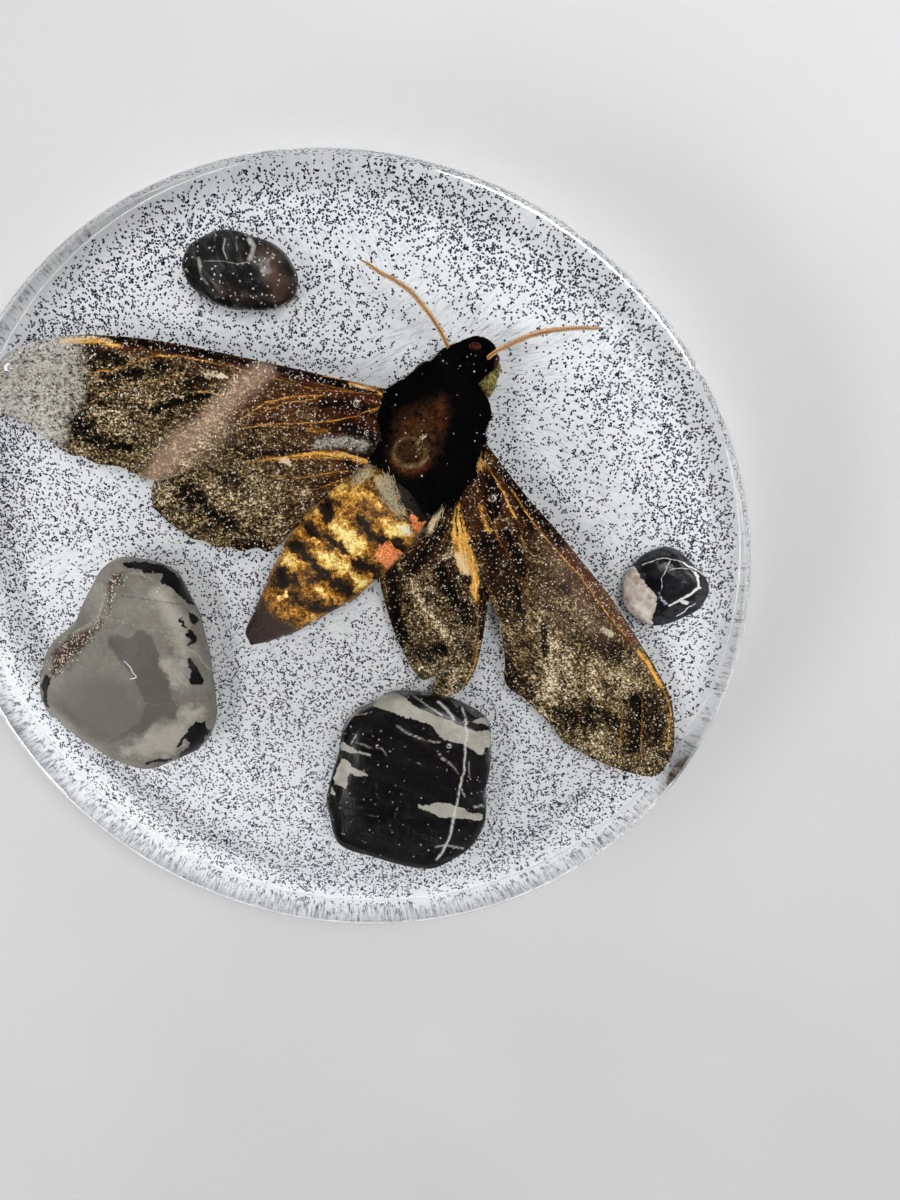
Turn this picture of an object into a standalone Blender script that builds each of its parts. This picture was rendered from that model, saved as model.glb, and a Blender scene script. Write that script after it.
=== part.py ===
"""A round block of clear casting resin on a silver glitter backing.

The block was poured in two goes in a round mould, and it came out as one disc: a thick clear pour, in
which the moth and the stones are sealed, and a thin glitter pour under it. Each pour is one solid here.
The disc lies flat. +Z is up, the origin is at the centre of the underside, and all sizes are in metres.
"""

import math

import bpy

DISC_RADIUS = 0.0550
DISC_HEIGHT = 0.0140
BACKING_THICKNESS = 0.0027
POUR_GAP = 0.0003
TOP_ROUNDING = 0.0010
BASE_ROUNDING = 0.0006

TURN_STEPS = 144
ARC_STEPS = 5
MERGE_DISTANCE = 0.00005

CLEAR_RESIN_COLOUR = (0.93, 0.95, 0.95, 1.0)
GLITTER_COLOUR = (0.62, 0.65, 0.68, 1.0)


def clear_scene():
    """Remove every object that the scene started with."""
    for obj in list(bpy.data.objects):
        bpy.data.objects.remove(obj, do_unlink=True)


def resin_material(name, colour, roughness, metallic, transmission):
    """A Principled material with the colour and gloss of one pour."""
    material = bpy.data.materials.new(name)
    material.use_nodes = True
    shader = material.node_tree.nodes["Principled BSDF"]
    shader.inputs["Base Color"].default_value = colour
    shader.inputs["Roughness"].default_value = roughness
    shader.inputs["Metallic"].default_value = metallic
    shader.inputs["Transmission Weight"].default_value = transmission
    return material


def quarter_arc(centre_x, centre_z, radius, first_angle, last_angle):
    """Points (x, z) along an arc in the XZ plane, from the first angle to the last, both ends included."""
    points = []
    for step in range(ARC_STEPS + 1):
        angle = first_angle + (last_angle - first_angle) * step / ARC_STEPS
        points.append((centre_x + radius * math.cos(angle), centre_z + radius * math.sin(angle)))
    return points


def turned_solid(name, profile, material):
    """A closed solid of revolution about Z. The profile runs from the axis on top, down its outer side, to the axis."""
    mesh = bpy.data.meshes.new(name)
    corners = [(x, 0.0, z) for x, z in profile]
    edges = [(i, i + 1) for i in range(len(corners) - 1)]
    mesh.from_pydata(corners, edges, [])
    obj = bpy.data.objects.new(name, mesh)
    bpy.context.scene.collection.objects.link(obj)
    turn = obj.modifiers.new("Turn", "SCREW")
    turn.axis = "Z"
    turn.angle = 2 * math.pi
    turn.steps = TURN_STEPS
    turn.render_steps = TURN_STEPS
    turn.use_merge_vertices = True
    turn.merge_threshold = MERGE_DISTANCE
    turn.use_smooth_shade = True
    mesh.materials.append(material)
    return obj


def make_clear_resin():
    """The thick clear pour: a flat top, a rounded upper edge, a straight wall and a flat underside."""
    bottom = BACKING_THICKNESS + POUR_GAP
    edge = quarter_arc(DISC_RADIUS - TOP_ROUNDING, DISC_HEIGHT - TOP_ROUNDING, TOP_ROUNDING, math.pi / 2, 0.0)
    profile = [(0.0, DISC_HEIGHT), *edge, (DISC_RADIUS, bottom), (0.0, bottom)]
    return turned_solid("clear_resin", profile, resin_material("clear_resin", CLEAR_RESIN_COLOUR, 0.03, 0.0, 1.0))


def make_glitter_backing():
    """The thin pour full of silver glitter: a straight wall, and a rounded lower edge from the mould's floor."""
    edge = quarter_arc(DISC_RADIUS - BASE_ROUNDING, BASE_ROUNDING, BASE_ROUNDING, 0.0, -math.pi / 2)
    profile = [(0.0, BACKING_THICKNESS), (DISC_RADIUS, BACKING_THICKNESS), *edge, (0.0, 0.0)]
    return turned_solid("glitter_backing", profile, resin_material("glitter_backing", GLITTER_COLOUR, 0.3, 0.6, 0.0))


def main():
    clear_scene()
    make_glitter_backing()
    make_clear_resin()


main()
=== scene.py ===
# %% [markdown]
# # A moth and four stones in a round resin block
# The real block is poured in a round mould: clear resin with the specimens in it, then a thin backing full
# of silver glitter. This lesson rebuilds how it looks. What is sealed in the resin is made here as surfaces
# worked out with numpy, and every finish is a node material. The first cell loads the two solid pours,
# which fix the size.

import bpy
import numpy as np
from mathutils import Matrix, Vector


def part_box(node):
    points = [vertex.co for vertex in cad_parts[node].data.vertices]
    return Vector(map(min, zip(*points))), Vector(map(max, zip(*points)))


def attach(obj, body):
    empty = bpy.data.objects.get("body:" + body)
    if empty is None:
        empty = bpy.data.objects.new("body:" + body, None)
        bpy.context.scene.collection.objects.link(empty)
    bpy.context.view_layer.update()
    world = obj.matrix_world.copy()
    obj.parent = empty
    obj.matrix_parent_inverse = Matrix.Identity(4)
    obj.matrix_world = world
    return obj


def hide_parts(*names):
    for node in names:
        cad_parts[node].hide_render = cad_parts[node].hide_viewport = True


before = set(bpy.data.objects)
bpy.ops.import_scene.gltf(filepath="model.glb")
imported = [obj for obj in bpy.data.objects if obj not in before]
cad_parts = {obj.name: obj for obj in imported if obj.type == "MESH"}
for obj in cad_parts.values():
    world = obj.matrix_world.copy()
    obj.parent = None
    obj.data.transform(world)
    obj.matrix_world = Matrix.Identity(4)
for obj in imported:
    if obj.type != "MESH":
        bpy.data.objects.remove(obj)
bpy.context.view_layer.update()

MM = 0.001
resin_low, resin_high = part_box("clear_resin")
TOP = resin_high.z
GLITTER_TOP = resin_low.z
RADIUS = resin_high.x
print(f"block {2 * RADIUS / MM:.0f} mm across and {TOP / MM:.0f} mm high,",
      f"clear down to {GLITTER_TOP / MM:.0f} mm")

# %% [markdown]
# ## The camera
# The photograph looks down on the block from its upper right, so close that the round rim is an ellipse. A
# circle of known size gives the camera's distance, and the ellipse's flattening gives its tilt. The lens is
# given as a focal length in pixels, which Blender wants in millimetres on a 36 mm sensor along the
# picture's long side.

# %% The camera
PHOTO_WIDE, PHOTO_HIGH = 900, 1200
FOCAL_PIXELS = 900.0
SENSOR = 36.0
EYE = np.array((23.43, 42.41, 127.22)) * MM
AIM = np.array((15.43, 0.03, 14.0)) * MM
ahead = (AIM - EYE) / np.linalg.norm(AIM - EYE)
right = np.cross(ahead, (0.0, 1.0, 0.0))
right /= np.linalg.norm(right)
above = np.cross(right, ahead)


def make_camera():
    """A camera at EYE whose axes are right, above and the reverse of ahead."""
    data = bpy.data.cameras.new("camera")
    data.sensor_width = SENSOR
    data.lens = SENSOR * FOCAL_PIXELS / PHOTO_HIGH
    data.clip_start = 5 * MM
    camera = bpy.data.objects.new("camera", data)
    bpy.context.scene.collection.objects.link(camera)
    turn = np.eye(4)
    turn[:3] = np.column_stack([right, above, -ahead, EYE])
    camera.matrix_world = Matrix(turn.tolist())
    bpy.context.scene.camera = camera


make_camera()
print(f"camera {np.linalg.norm(AIM - EYE) / MM:.0f} mm from the block")

# %% [markdown]
# ## Looking into the resin
# Resin bends light, so a thing inside it isn't where it seems to be. The first helper follows the
# photograph's ray for a pixel to the top face, bends it there as Snell's law says, and carries it down to a
# given height. An outline that is read off the photograph, in its 900 by 1200 pixels, so becomes real
# metres in the block. The second helper goes back: it says where the camera sees a point, on one level
# drawing plane through the moth. Marks are drawn on that plane, so they land where the photograph shows
# them on a surface of any height.

# %% From a pixel to a place in the block, and back
RESIN_IOR = 1.5
DRAWN = 8.0 * MM


def into_block(pixels, height):
    """Rows of x, y in metres for rows of pixels, at a height in metres above the table.

    A ray is ahead plus right and above times the pixel's distance from the picture's middle over the focal
    length. Bending divides the level part of its unit direction by the resin's index.
    """
    pixels = np.atleast_2d(np.asarray(pixels, float))
    across = (pixels[:, 0] - PHOTO_WIDE / 2) / FOCAL_PIXELS
    up = (PHOTO_HIGH / 2 - pixels[:, 1]) / FOCAL_PIXELS
    rays = ahead + across[:, None] * right + up[:, None] * above
    rays /= np.linalg.norm(rays, axis=1, keepdims=True)
    entry = EYE + rays * ((TOP - EYE[2]) / rays[:, 2])[:, None]
    level = rays[:, :2] / RESIN_IOR
    steep = np.sqrt(1 - (level**2).sum(axis=1, keepdims=True))
    return entry[:, :2] + level / steep * (TOP - np.reshape(height, (-1, 1)))


def seen(points):
    """Rows of x, y on the drawing plane, in metres, where the camera sees rows of points.

    The slope of the bent ray depends on where it enters the top face, and that place depends on the
    slope, so the two are worked out in turn three times, after which they hardly change.
    """
    entry = points[:, :2]
    for _ in range(3):
        run = entry - EYE[:2]
        level = run / np.sqrt((run**2).sum(axis=1, keepdims=True) + (EYE[2] - TOP) ** 2) / RESIN_IOR
        slope = level / np.sqrt(1 - (level**2).sum(axis=1, keepdims=True))
        entry = points[:, :2] - slope * (TOP - points[:, 2:3])
    return entry + slope * (TOP - DRAWN)


print("the picture's middle meets the glitter at", np.round(into_block((450, 600), GLITTER_TOP)[0] / MM, 1),
      "mm")

# %% [markdown]
# ## Curves and meshes from arrays
# A few small tools make nearly every piece. One runs a smooth curve through a few points. One joins a grid
# of points into a skin of quads, which can wrap round and can close its ends with a fan. One copies a small
# shape to many places as a single mesh, because thousands of separate objects would be slow.

# %% Tools for shapes
rng = np.random.default_rng(7)


def flowing(points, count, closed=False):
    """Evenly spaced points on a smooth curve through the given ones.

    Each stretch is a cubic whose slope at a point is half the step between that point's two neighbours.
    """
    p = np.asarray(points, float)
    if closed:
        p = np.vstack([p[-1], p, p[:2]])
    else:
        p = np.vstack([2 * p[0] - p[1], p, 2 * p[-1] - p[-2]])
    a, b, c, d = p[:-3], p[1:-2], p[2:-1], p[3:]
    t = np.linspace(0, 1, 16, endpoint=False)[:, None, None]
    curve = b + (c - a) * t / 2 + (a - 2.5 * b + 2 * c - d / 2) * t**2 + (1.5 * (b - c) + (d - a) / 2) * t**3
    curve = np.vstack([curve.swapaxes(0, 1).reshape(-1, p.shape[1]), c[-1]])
    along = np.append(0, np.linalg.norm(np.diff(curve, axis=0), axis=1).cumsum())
    at = np.linspace(0, along[-1], count, endpoint=not closed)
    return np.column_stack([np.interp(at, along, curve[:, k]) for k in range(p.shape[1])])


def unit(vectors):
    """Vectors of length 1."""
    return vectors / np.linalg.norm(vectors, axis=-1, keepdims=True)


def piece(name, points, faces, material, smooth=True, marks=None):
    """A mesh object from arrays of points and faces. It rides on the block and keeps each array of marks,
    one value or vector a point, under its name for the finish to read."""
    mesh = bpy.data.meshes.new(name)
    mesh.from_pydata(np.asarray(points).tolist(), [], faces)
    mesh.materials.append(material)
    mesh.polygons.foreach_set("use_smooth", np.full(len(mesh.polygons), smooth))
    for mark, values in (marks or {}).items():
        kind, field = ("FLOAT", "value") if values.ndim == 1 else ("FLOAT_VECTOR", "vector")
        mesh.attributes.new(mark, kind, "POINT").data.foreach_set(field, np.ravel(values).astype(np.float32))
    obj = bpy.data.objects.new(name, mesh)
    bpy.context.scene.collection.objects.link(obj)
    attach(obj, "root")
    return obj


def skin_faces(rows, columns, around, caps):
    """Quads over a grid of rows by columns. around joins the last column to the first, and each end named in
    caps is closed by a fan to one extra point, stored after the grid."""
    r, c = np.meshgrid(np.arange(rows - 1), np.arange(columns if around else columns - 1), indexing="ij")
    beside = (c + 1) % columns
    faces = np.stack([r * columns + c, r * columns + beside, (r + 1) * columns + beside,
                      (r + 1) * columns + c], -1)
    faces = faces.reshape(-1, 4).tolist()
    ring = np.arange(columns)
    for number, end in enumerate(caps):
        tip = np.full(columns, rows * columns + number)
        first, second = (np.roll(ring, -1), ring) if end == "first" else (ring, np.roll(ring, -1))
        start = 0 if end == "first" else (rows - 1) * columns
        faces += np.column_stack([start + first, start + second, tip]).tolist()
    return faces


def grid_points(grid, caps=()):
    """The grid's points in one list, and after them the middle of each end that is closed."""
    tips = [grid[0 if end == "first" else -1].mean(axis=0) for end in caps]
    return np.vstack([grid.reshape(-1, grid.shape[-1]), *tips])


def skin(name, grid, material, around=False, caps=(), crease=None, marks=None):
    """A piece whose surface is a grid of points, rows by columns, with each capped end closed to its
    middle. Edges that turn by more than crease degrees are kept sharp. marks gives the marks for a list
    of points."""
    points = grid_points(grid, caps)
    faces = skin_faces(*grid.shape[:2], around, caps)
    obj = piece(name, points, faces, material, marks=marks(points) if marks else None)
    if crease:
        obj.data.set_sharp_from_angle(angle=np.radians(crease))
    return obj


def many(name, shape, faces, turns, places, material, smooth=False, marks=None):
    """One mesh of many copies of a small shape: each copy's points are the shape's times its own 3 by 3
    turn, which holds its size too, plus its own place. marks holds one value for each copy."""
    points = np.einsum("pk,nkj->npj", shape, turns) + places[:, None]
    faces = np.asarray(faces)
    shifted = faces[None] + (np.arange(len(places)) * len(shape))[:, None, None]
    spread = {mark: np.repeat(values, len(shape)) for mark, values in (marks or {}).items()}
    return piece(name, points.reshape(-1, 3), shifted.reshape(-1, faces.shape[1]).tolist(), material,
                 smooth, spread)


print("tools ready")

# %% [markdown]
# ## Drawing marks
# A stroke is a soft line or a soft dot: how wide it is in millimetres, how strong, and the pixels it runs
# through. The strength at a point falls off with its distance from the stroke as a bell curve does. What
# comes out is one value a point, which a finish uses as a mask, so that the colours stay in the finish and
# a picture isn't needed.

# %% Strokes


def gap_to(places, path):
    """The distance from each place to the nearest point of a path of straight stretches, in the same
    unit."""
    if len(path) == 1:
        return np.linalg.norm(places - path[0], axis=1)
    a, step = path[:-1], np.diff(path, axis=0)
    share = ((places[:, None] - a) * step).sum(axis=-1) / (step**2).sum(axis=-1)
    nearest = a + np.clip(share, 0, 1)[..., None] * step
    return np.linalg.norm(places[:, None] - nearest, axis=-1).min(axis=1)


def close_to(places, path, reach):
    """Which places lie in the box around a path, made wider by reach."""
    return ((places > path.min(axis=0) - reach) & (places < path.max(axis=0) + reach)).all(axis=1)


def drift(places, size, seed, waves=14):
    """A smooth random field from about -1 to 1: the sum of plane waves of about one size in random
    directions."""
    own = np.random.default_rng(seed)
    heading = own.random(waves) * 2 * np.pi
    length = size * own.uniform(0.7, 1.5, waves)
    pull = np.column_stack([np.cos(heading), np.sin(heading)]) * 2 * np.pi / length[:, None]
    return np.cos(places @ pull.T + own.random(waves) * 2 * np.pi).sum(axis=1) / np.sqrt(waves)


def torn(places, depth):
    """Places shifted by random fields of three sizes, so that what is drawn at them gets a torn edge, as
    deep as depth in millimetres."""
    for number, (size, share) in enumerate(((2.0, 0.5), (0.8, 0.35), (0.35, 0.25))):
        shift = np.column_stack([drift(places, size * MM, 90 + number),
                                 drift(places, size * MM, 95 + number)])
        places = places + share * depth * MM * shift
    return places


def ink(points, strokes, tear=0.0):
    """The strongest mark at each point. A mark is its strength times a bell curve of distance over half
    width."""
    places = torn(seen(points), tear) if tear else seen(points)
    marks = np.zeros(len(points))
    for half_width, strength, pixels in strokes:
        path = into_block(pixels, DRAWN)
        near = close_to(places, path, 2.5 * half_width * MM)
        gap = gap_to(places[near], path) / (half_width * MM)
        marks[near] = np.maximum(marks[near], strength * np.exp(-gap**2))
    return marks


def area(points, outlines, soft, tear=0.0):
    """1 inside any of some closed outlines of pixels and 0 outside, over a soft edge of the given
    millimetres.

    A point is inside an outline when a line from it to the right crosses it an odd number of times.
    """
    places = torn(seen(points), tear) if tear else seen(points)
    marks = np.zeros(len(points))
    for outline in outlines:
        ring = into_block(flowing(outline, 5 * len(outline), closed=True), DRAWN)
        after = np.roll(ring, -1, axis=0)
        near = close_to(places, ring, soft * MM)
        x, y = places[near, :1], places[near, 1:]
        spans = (ring[:, 1] > y) != (after[:, 1] > y)
        rise = np.where(after[:, 1] == ring[:, 1], 1e-12, after[:, 1] - ring[:, 1])
        crossing = ring[:, 0] + (y - ring[:, 1]) * (after[:, 0] - ring[:, 0]) / rise
        inside = np.where((spans & (x < crossing)).sum(axis=1) % 2 == 1, 1.0, -1.0)
        gap = gap_to(places[near], np.vstack([ring, ring[:1]]))
        marks[near] = np.maximum(marks[near], np.clip(0.5 + inside * gap / (soft * MM), 0, 1))
    return marks


print("strokes and areas ready")

# %% [markdown]
# ## Finishes as sums
# A finish mixes a few patterns by masks. Written as nodes that is a long list of links, so here a socket is
# wrapped in a small class, and Python's own plus, minus and times add the Math nodes. One method adds any
# other node: its settings first, then its sockets.

# %% Tools for finishes


class Wire:
    """A socket that takes part in sums of values. Each operator adds one Math node."""

    def __init__(self, finish, socket):
        self.finish, self.socket = finish, socket

    def math(self, operation, *others):
        node = self.finish.add("ShaderNodeMath", {"operation": operation}, [self, *others])
        return Wire(self.finish, node.outputs[0])

    def __add__(self, other):
        return self.math("ADD", other)

    def __sub__(self, other):
        return self.math("SUBTRACT", other)

    def __rsub__(self, other):
        return (self * -1.0).math("ADD", other)

    def __mul__(self, other):
        return self.math("MULTIPLY", other)

    __radd__, __rmul__ = __add__, __mul__

    def at_most(self, other):
        return self.math("MINIMUM", other)

    def rises(self, low, high):
        """0 where this is below low, 1 above high, and a straight ramp between. It falls if low is above
        high."""
        sockets = {"Value": self, "From Min": low, "From Max": high}
        return Wire(self.finish, self.finish.add("ShaderNodeMapRange", {"clamp": True}, sockets).outputs[0])


class Finish:
    """A material in the making, with its Principled shader."""

    def __init__(self, name, **constants):
        self.material = bpy.data.materials.new(name)
        self.material.use_nodes = True
        self.nodes, self.links = self.material.node_tree.nodes, self.material.node_tree.links
        self.shader = self.nodes["Principled BSDF"]
        self.set(**constants)

    def plug(self, socket, value):
        """Link a wire or a socket, or set a plain value."""
        if isinstance(value, (Wire, bpy.types.NodeSocket)):
            self.links.new(value.socket if isinstance(value, Wire) else value, socket)
        elif socket.type == "RGBA":
            socket.default_value = (*value, 1.0)[:4]
        else:
            socket.default_value = value

    def set(self, **values):
        """Set the shader's sockets. A name's underscores stand for spaces."""
        for name, value in values.items():
            self.plug(self.shader.inputs[name.replace("_", " ")], value)

    def add(self, kind, settings, sockets):
        """Any node: its type, its settings, then its sockets by place or by name."""
        node = self.nodes.new(kind)
        for name, value in settings.items():
            setattr(node, name, value)
        for key, value in sockets.items() if isinstance(sockets, dict) else enumerate(sockets):
            self.plug(node.inputs[key], value)
        return node

    def place(self):
        """The point in millimetres, in the object's own coordinates."""
        source = self.add("ShaderNodeTexCoord", {}, {}).outputs["Object"]
        return self.stretch(source, (1 / MM, 1 / MM, 1 / MM))

    def stretch(self, vector, scale, turn=0.0):
        """A vector turned about Z by an angle in radians and then scaled along each axis."""
        turned = self.add("ShaderNodeMapping", {}, {"Vector": vector, "Rotation": (0, 0, turn)}).outputs[0]
        return self.add("ShaderNodeMapping", {}, {"Vector": turned, "Scale": scale}).outputs[0]

    def grain(self, name):
        """A vector that is stored on the mesh's points under this name."""
        return self.add("ShaderNodeAttribute", {"attribute_name": name}, {}).outputs["Vector"]

    def mark(self, name):
        """A value that is stored on the mesh's points under this name."""
        return Wire(self, self.add("ShaderNodeAttribute", {"attribute_name": name}, {}).outputs["Fac"])

    def noise(self, where, scale, detail=2.0, rough=0.5, bend=0.0):
        """Soft noise from 0 to 1, with scale in blots per millimetre."""
        sockets = {"Vector": where, "Scale": scale, "Detail": detail, "Roughness": rough, "Distortion": bend}
        return Wire(self, self.add("ShaderNodeTexNoise", {}, sockets).outputs[0])

    def cells(self, where, scale):
        """A random value from 0 to 1 for each small cell, with scale in cells per millimetre."""
        node = self.add("ShaderNodeTexVoronoi", {"feature": "F1"}, {"Vector": where, "Scale": scale})
        return Wire(self, self.add("ShaderNodeSeparateColor", {}, [node.outputs["Color"]]).outputs[0])

    def mix(self, share, first, second):
        """A colour that goes from the first to the second as share goes from 0 to 1."""
        node = self.add("ShaderNodeMix", {"data_type": "RGBA"}, {0: share, 6: first, 7: second})
        return node.outputs[2]

    def bump(self, height, depth):
        """Raise the surface by height times depth in millimetres, as a Bump node on Normal."""
        node = self.add("ShaderNodeBump", {}, {"Strength": 1.0, "Distance": depth * MM, "Height": height})
        self.set(Normal=node.outputs[0])


print("finishes are built from values, masks and noise")

# %% [markdown]
# ## The clear resin
# Cast resin is polished like glass, so it is plain transmission with an index of 1.5 and next to no
# roughness. It is a turned profile: a flat top, a 1 mm rounded edge and a straight wall. One extra ring
# beside each end of the rounding keeps its smooth shading out of the flat top and the wall, which would
# otherwise bend what is seen through them. The wall isn't polished after it leaves the mould, so it is a
# little rough, and the glitter that mirrors in it is drawn out into short streaks. The pour reaches a hair
# below the top of the glitter, so that no air gap mirrors light between the two.

# %% The clear resin
EDGE = 1.0 * MM
HAIR = 0.02 * MM
BOND = 0.1 * MM
RING_STEPS = 360
WALL_ROUGHNESS = 0.03
WALL_LINES = 0.02


def turned(profile, steps=RING_STEPS):
    """A surface of revolution: each profile point (radius, height) runs round Z."""
    angle = np.linspace(0, 2 * np.pi, steps, endpoint=False)
    r, z = np.asarray(profile, float).T
    return np.stack([r[:, None] * np.cos(angle), r[:, None] * np.sin(angle), z[:, None] + 0 * angle], -1)


def rounded_corner(radius, height, size, first, last, count=9):
    """Profile points on an arc of a given size about (radius, height), between two angles in degrees."""
    a = np.radians(np.linspace(first, last, count))
    return np.column_stack([radius + size * np.cos(a), height + size * np.sin(a)])


def resin_finish(name, roughness, lines=0.0):
    """Clear resin: plain transmission. lines is the depth in millimetres of fine lines that run round the
    wall."""
    finish = Finish(name, Base_Color=(0.985, 0.992, 0.99), Roughness=roughness, IOR=RESIN_IOR)
    finish.set(Transmission_Weight=1.0)
    if lines:
        ripple = finish.noise(finish.stretch(finish.place(), (0.35, 0.35, 4.0)), 1.0, detail=2)
        finish.bump(ripple, lines)
    return finish.material


def make_resin():
    profile = np.vstack([
        (RADIUS, GLITTER_TOP - BOND),
        (RADIUS, TOP - EDGE - HAIR),
        rounded_corner(RADIUS - EDGE, TOP - EDGE, EDGE, 0, 90),
        (RADIUS - EDGE - HAIR, TOP),
    ])
    polished = resin_finish("polished_resin", 0.0)
    obj = skin("clear_resin_pour", turned(profile), polished, around=True,
               caps=("first", "last"), crease=40)
    obj.data.materials.append(resin_finish("moulded_wall", WALL_ROUGHNESS, WALL_LINES))
    wall = np.zeros(len(obj.data.polygons), np.int32)
    wall[:RING_STEPS] = 1
    obj.data.polygons.foreach_set("material_index", wall)
    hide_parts("clear_resin")
    return obj


resin = make_resin()
print(len(resin.data.polygons), "faces in the clear pour")

# %% [markdown]
# ## The glitter backing
# The thin pour is packed with silver flakes that lie flat, so from above it looks like pale brushed metal.
# Its finish paints each small cell its own grey as painted reflection: no two flakes lean the same way, so
# each mirrors the light a little differently.

# %% The glitter backing
BACKING_CORNER = 0.6 * MM
BACKING_INSET = 0.05 * MM


def backing_finish():
    finish = Finish("silver_glitter", Metallic=0.0, Specular_IOR_Level=0.3)
    where = finish.place()
    flake = finish.cells(where, 3.2)
    cloud = finish.noise(where, 0.12, detail=3)
    # painted reflection: each cell's grey stands in for the light its flake mirrors at its own lean
    pale = finish.mix(flake, (0.83, 0.85, 0.87), (0.97, 0.975, 0.985))
    finish.set(Base_Color=finish.mix(cloud.rises(0.35, 0.7) * 0.20, pale, (0.70, 0.73, 0.77)),
               Roughness=flake.rises(0.0, 1.0) * 0.3 + 0.3)
    finish.bump(flake, 0.03)
    return finish.material


def make_backing():
    inner = RADIUS - BACKING_INSET
    profile = np.vstack([
        (inner - BACKING_CORNER - HAIR, 0.0),
        rounded_corner(inner - BACKING_CORNER, BACKING_CORNER, BACKING_CORNER, -90, 0),
        (inner, GLITTER_TOP),
        (inner - HAIR, GLITTER_TOP),
    ])
    obj = skin("glitter_pour", turned(profile), backing_finish(), around=True,
               caps=("first", "last"), crease=40)
    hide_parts("glitter_backing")


make_backing()
print("backing ready")

# %% [markdown]
# ## Dark flakes in chains
# Seen close, dark square flakes are strewn over the silver, one by one or in short crooked chains, like
# worms. A chain starts at a random place and takes one to four short steps, each with its own turn, and
# every step becomes one small flat flake. How many chains start somewhere follows a map: more in a ring
# inside the rim and in soft patches, fewer where the resin was brushed out around the moth's head and
# feelers.

# %% Where flakes lie
FLAKE_SIZE = 0.23 * MM
CHAIN_STEP = 0.29 * MM
CHAIN_SPACING = 0.35 * MM
MOST_LINKS = 4
LINK_SHARES = [0.78, 0.16, 0.05, 0.01]
CHAIN_BEND = 1.1
FLAKE_STRETCH = (0.75, 1.2)
FLAKE_LEAN = 0.4
FLAKE_LIFT = (0.02, 0.06)
RING_DEPTH = 6.0
RING_WIDTH = 2.6
BRUSHED = [
    (3.2, 0.8, [(360, 385), (400, 340), (440, 320), (480, 325), (520, 345), (540, 370)]),
    (2.4, 0.7, [(500, 350), (560, 335), (610, 330), (640, 360), (650, 420)]),
    (1.8, 0.6, [(355, 258), (385, 275), (415, 295), (440, 335)]),
    (2.2, 0.6, [(500, 395), (520, 420), (560, 440)]),
    (2.6, 0.7, [(215, 655), (245, 640), (300, 640), (350, 615)]),
    (2.4, 0.6, [(290, 250), (330, 240), (360, 230)]),
    (3.4, 0.5, [(610, 520), (590, 470), (560, 440)]),
    (2.0, 0.6, [(690, 650), (695, 700), (690, 740)]),
    (1.6, 0.5, [(45, 560), (85, 560), (100, 545)]),
]
DENSE = [
    (4.0, 0.15, [(500, 780), (560, 800), (540, 840)]),
    (3.0, 0.4, [(600, 400), (650, 480), (690, 560)]),
    (2.5, 0.4, [(330, 640), (350, 680), (320, 700)]),
    (3.5, 0.4, [(230, 640), (240, 700), (250, 760)]),
    (3.0, 0.4, [(60, 780), (110, 830), (180, 870)]),
]


def flake_density(places):
    """The share of sites that start a chain, from the ring inside the rim, soft patches and the brushed
    zones."""
    points = np.column_stack([places, np.full(len(places), GLITTER_TOP)])
    from_rim = (RADIUS - np.hypot(*places.T)) / MM
    ring = np.exp(-((from_rim - RING_DEPTH) / RING_WIDTH) ** 2) * (0.7 + 0.3 * np.sign(places[:, 1]))
    patches = 0.07 * drift(places, 14 * MM, 3) + 0.10 * drift(places, 3.5 * MM, 4)
    return 0.42 + 0.40 * ring + patches + 0.28 * ink(points, DENSE) - 0.42 * ink(points, BRUSHED)


def flake_sites():
    """Chain starts on a grid with every place shaken by up to half a step, thinned by the density map."""
    reach = np.arange(-RADIUS, RADIUS, CHAIN_SPACING)
    grid = np.stack(np.meshgrid(reach, reach), -1).reshape(-1, 2)
    grid = grid + rng.uniform(-0.5, 0.5, grid.shape) * CHAIN_SPACING
    grid = grid[np.hypot(*grid.T) < RADIUS - 0.5 * MM]
    return grid[rng.random(len(grid)) < flake_density(grid)]


def make_flakes():
    starts = flake_sites()
    turns = rng.normal(0, CHAIN_BEND, (len(starts), MOST_LINKS))
    turns[:, 0] = rng.random(len(starts)) * 2 * np.pi
    heading = turns.cumsum(axis=1)
    step = np.stack([np.cos(heading), np.sin(heading)], -1) * CHAIN_STEP
    places = starts[:, None] + step.cumsum(axis=1)
    used = np.arange(MOST_LINKS) < rng.choice([1, 2, 3, 4], len(starts), p=LINK_SHARES)[:, None]
    used &= np.linalg.norm(places, axis=-1) < RADIUS - 0.3 * MM
    heading, places = heading[used], places[used]
    count = len(places)
    long, wide = FLAKE_SIZE / 2 * rng.uniform(*FLAKE_STRETCH, (2, count))
    lean = rng.uniform(-FLAKE_LEAN, FLAKE_LEAN, count)
    cos, sin = np.cos(heading), np.sin(heading)
    turn = np.zeros((count, 3, 3))
    turn[:, 0, :2] = np.column_stack([cos, sin]) * long[:, None]
    turn[:, 1, :2] = np.column_stack([lean * cos - sin, lean * sin + cos]) * wide[:, None]
    lift = GLITTER_TOP + rng.uniform(*FLAKE_LIFT, count) * MM
    finish = Finish("dark_flakes", Roughness=0.35, Specular_IOR_Level=0.05)
    finish.set(Base_Color=finish.mix(finish.mark("tone"), (0.003, 0.005, 0.012), (0.06, 0.075, 0.115)))
    square = np.array([(-1, -1, 0), (1, -1, 0), (1, 1, 0), (-1, 1, 0)], float)
    many("dark_flakes", square, [[0, 1, 2, 3]], turn, np.column_stack([places, lift]), finish.material,
         marks={"tone": rng.random(count) ** 3})
    return count


print(make_flakes(), "dark flakes")

# %% [markdown]
# ## Brushed hairlines
# Around the head the resin was spread with a fine tool, which left hairlines in the glitter. They run in a
# few directions that change slowly, so each line takes the average of some given directions, weighted by
# closeness.

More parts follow.
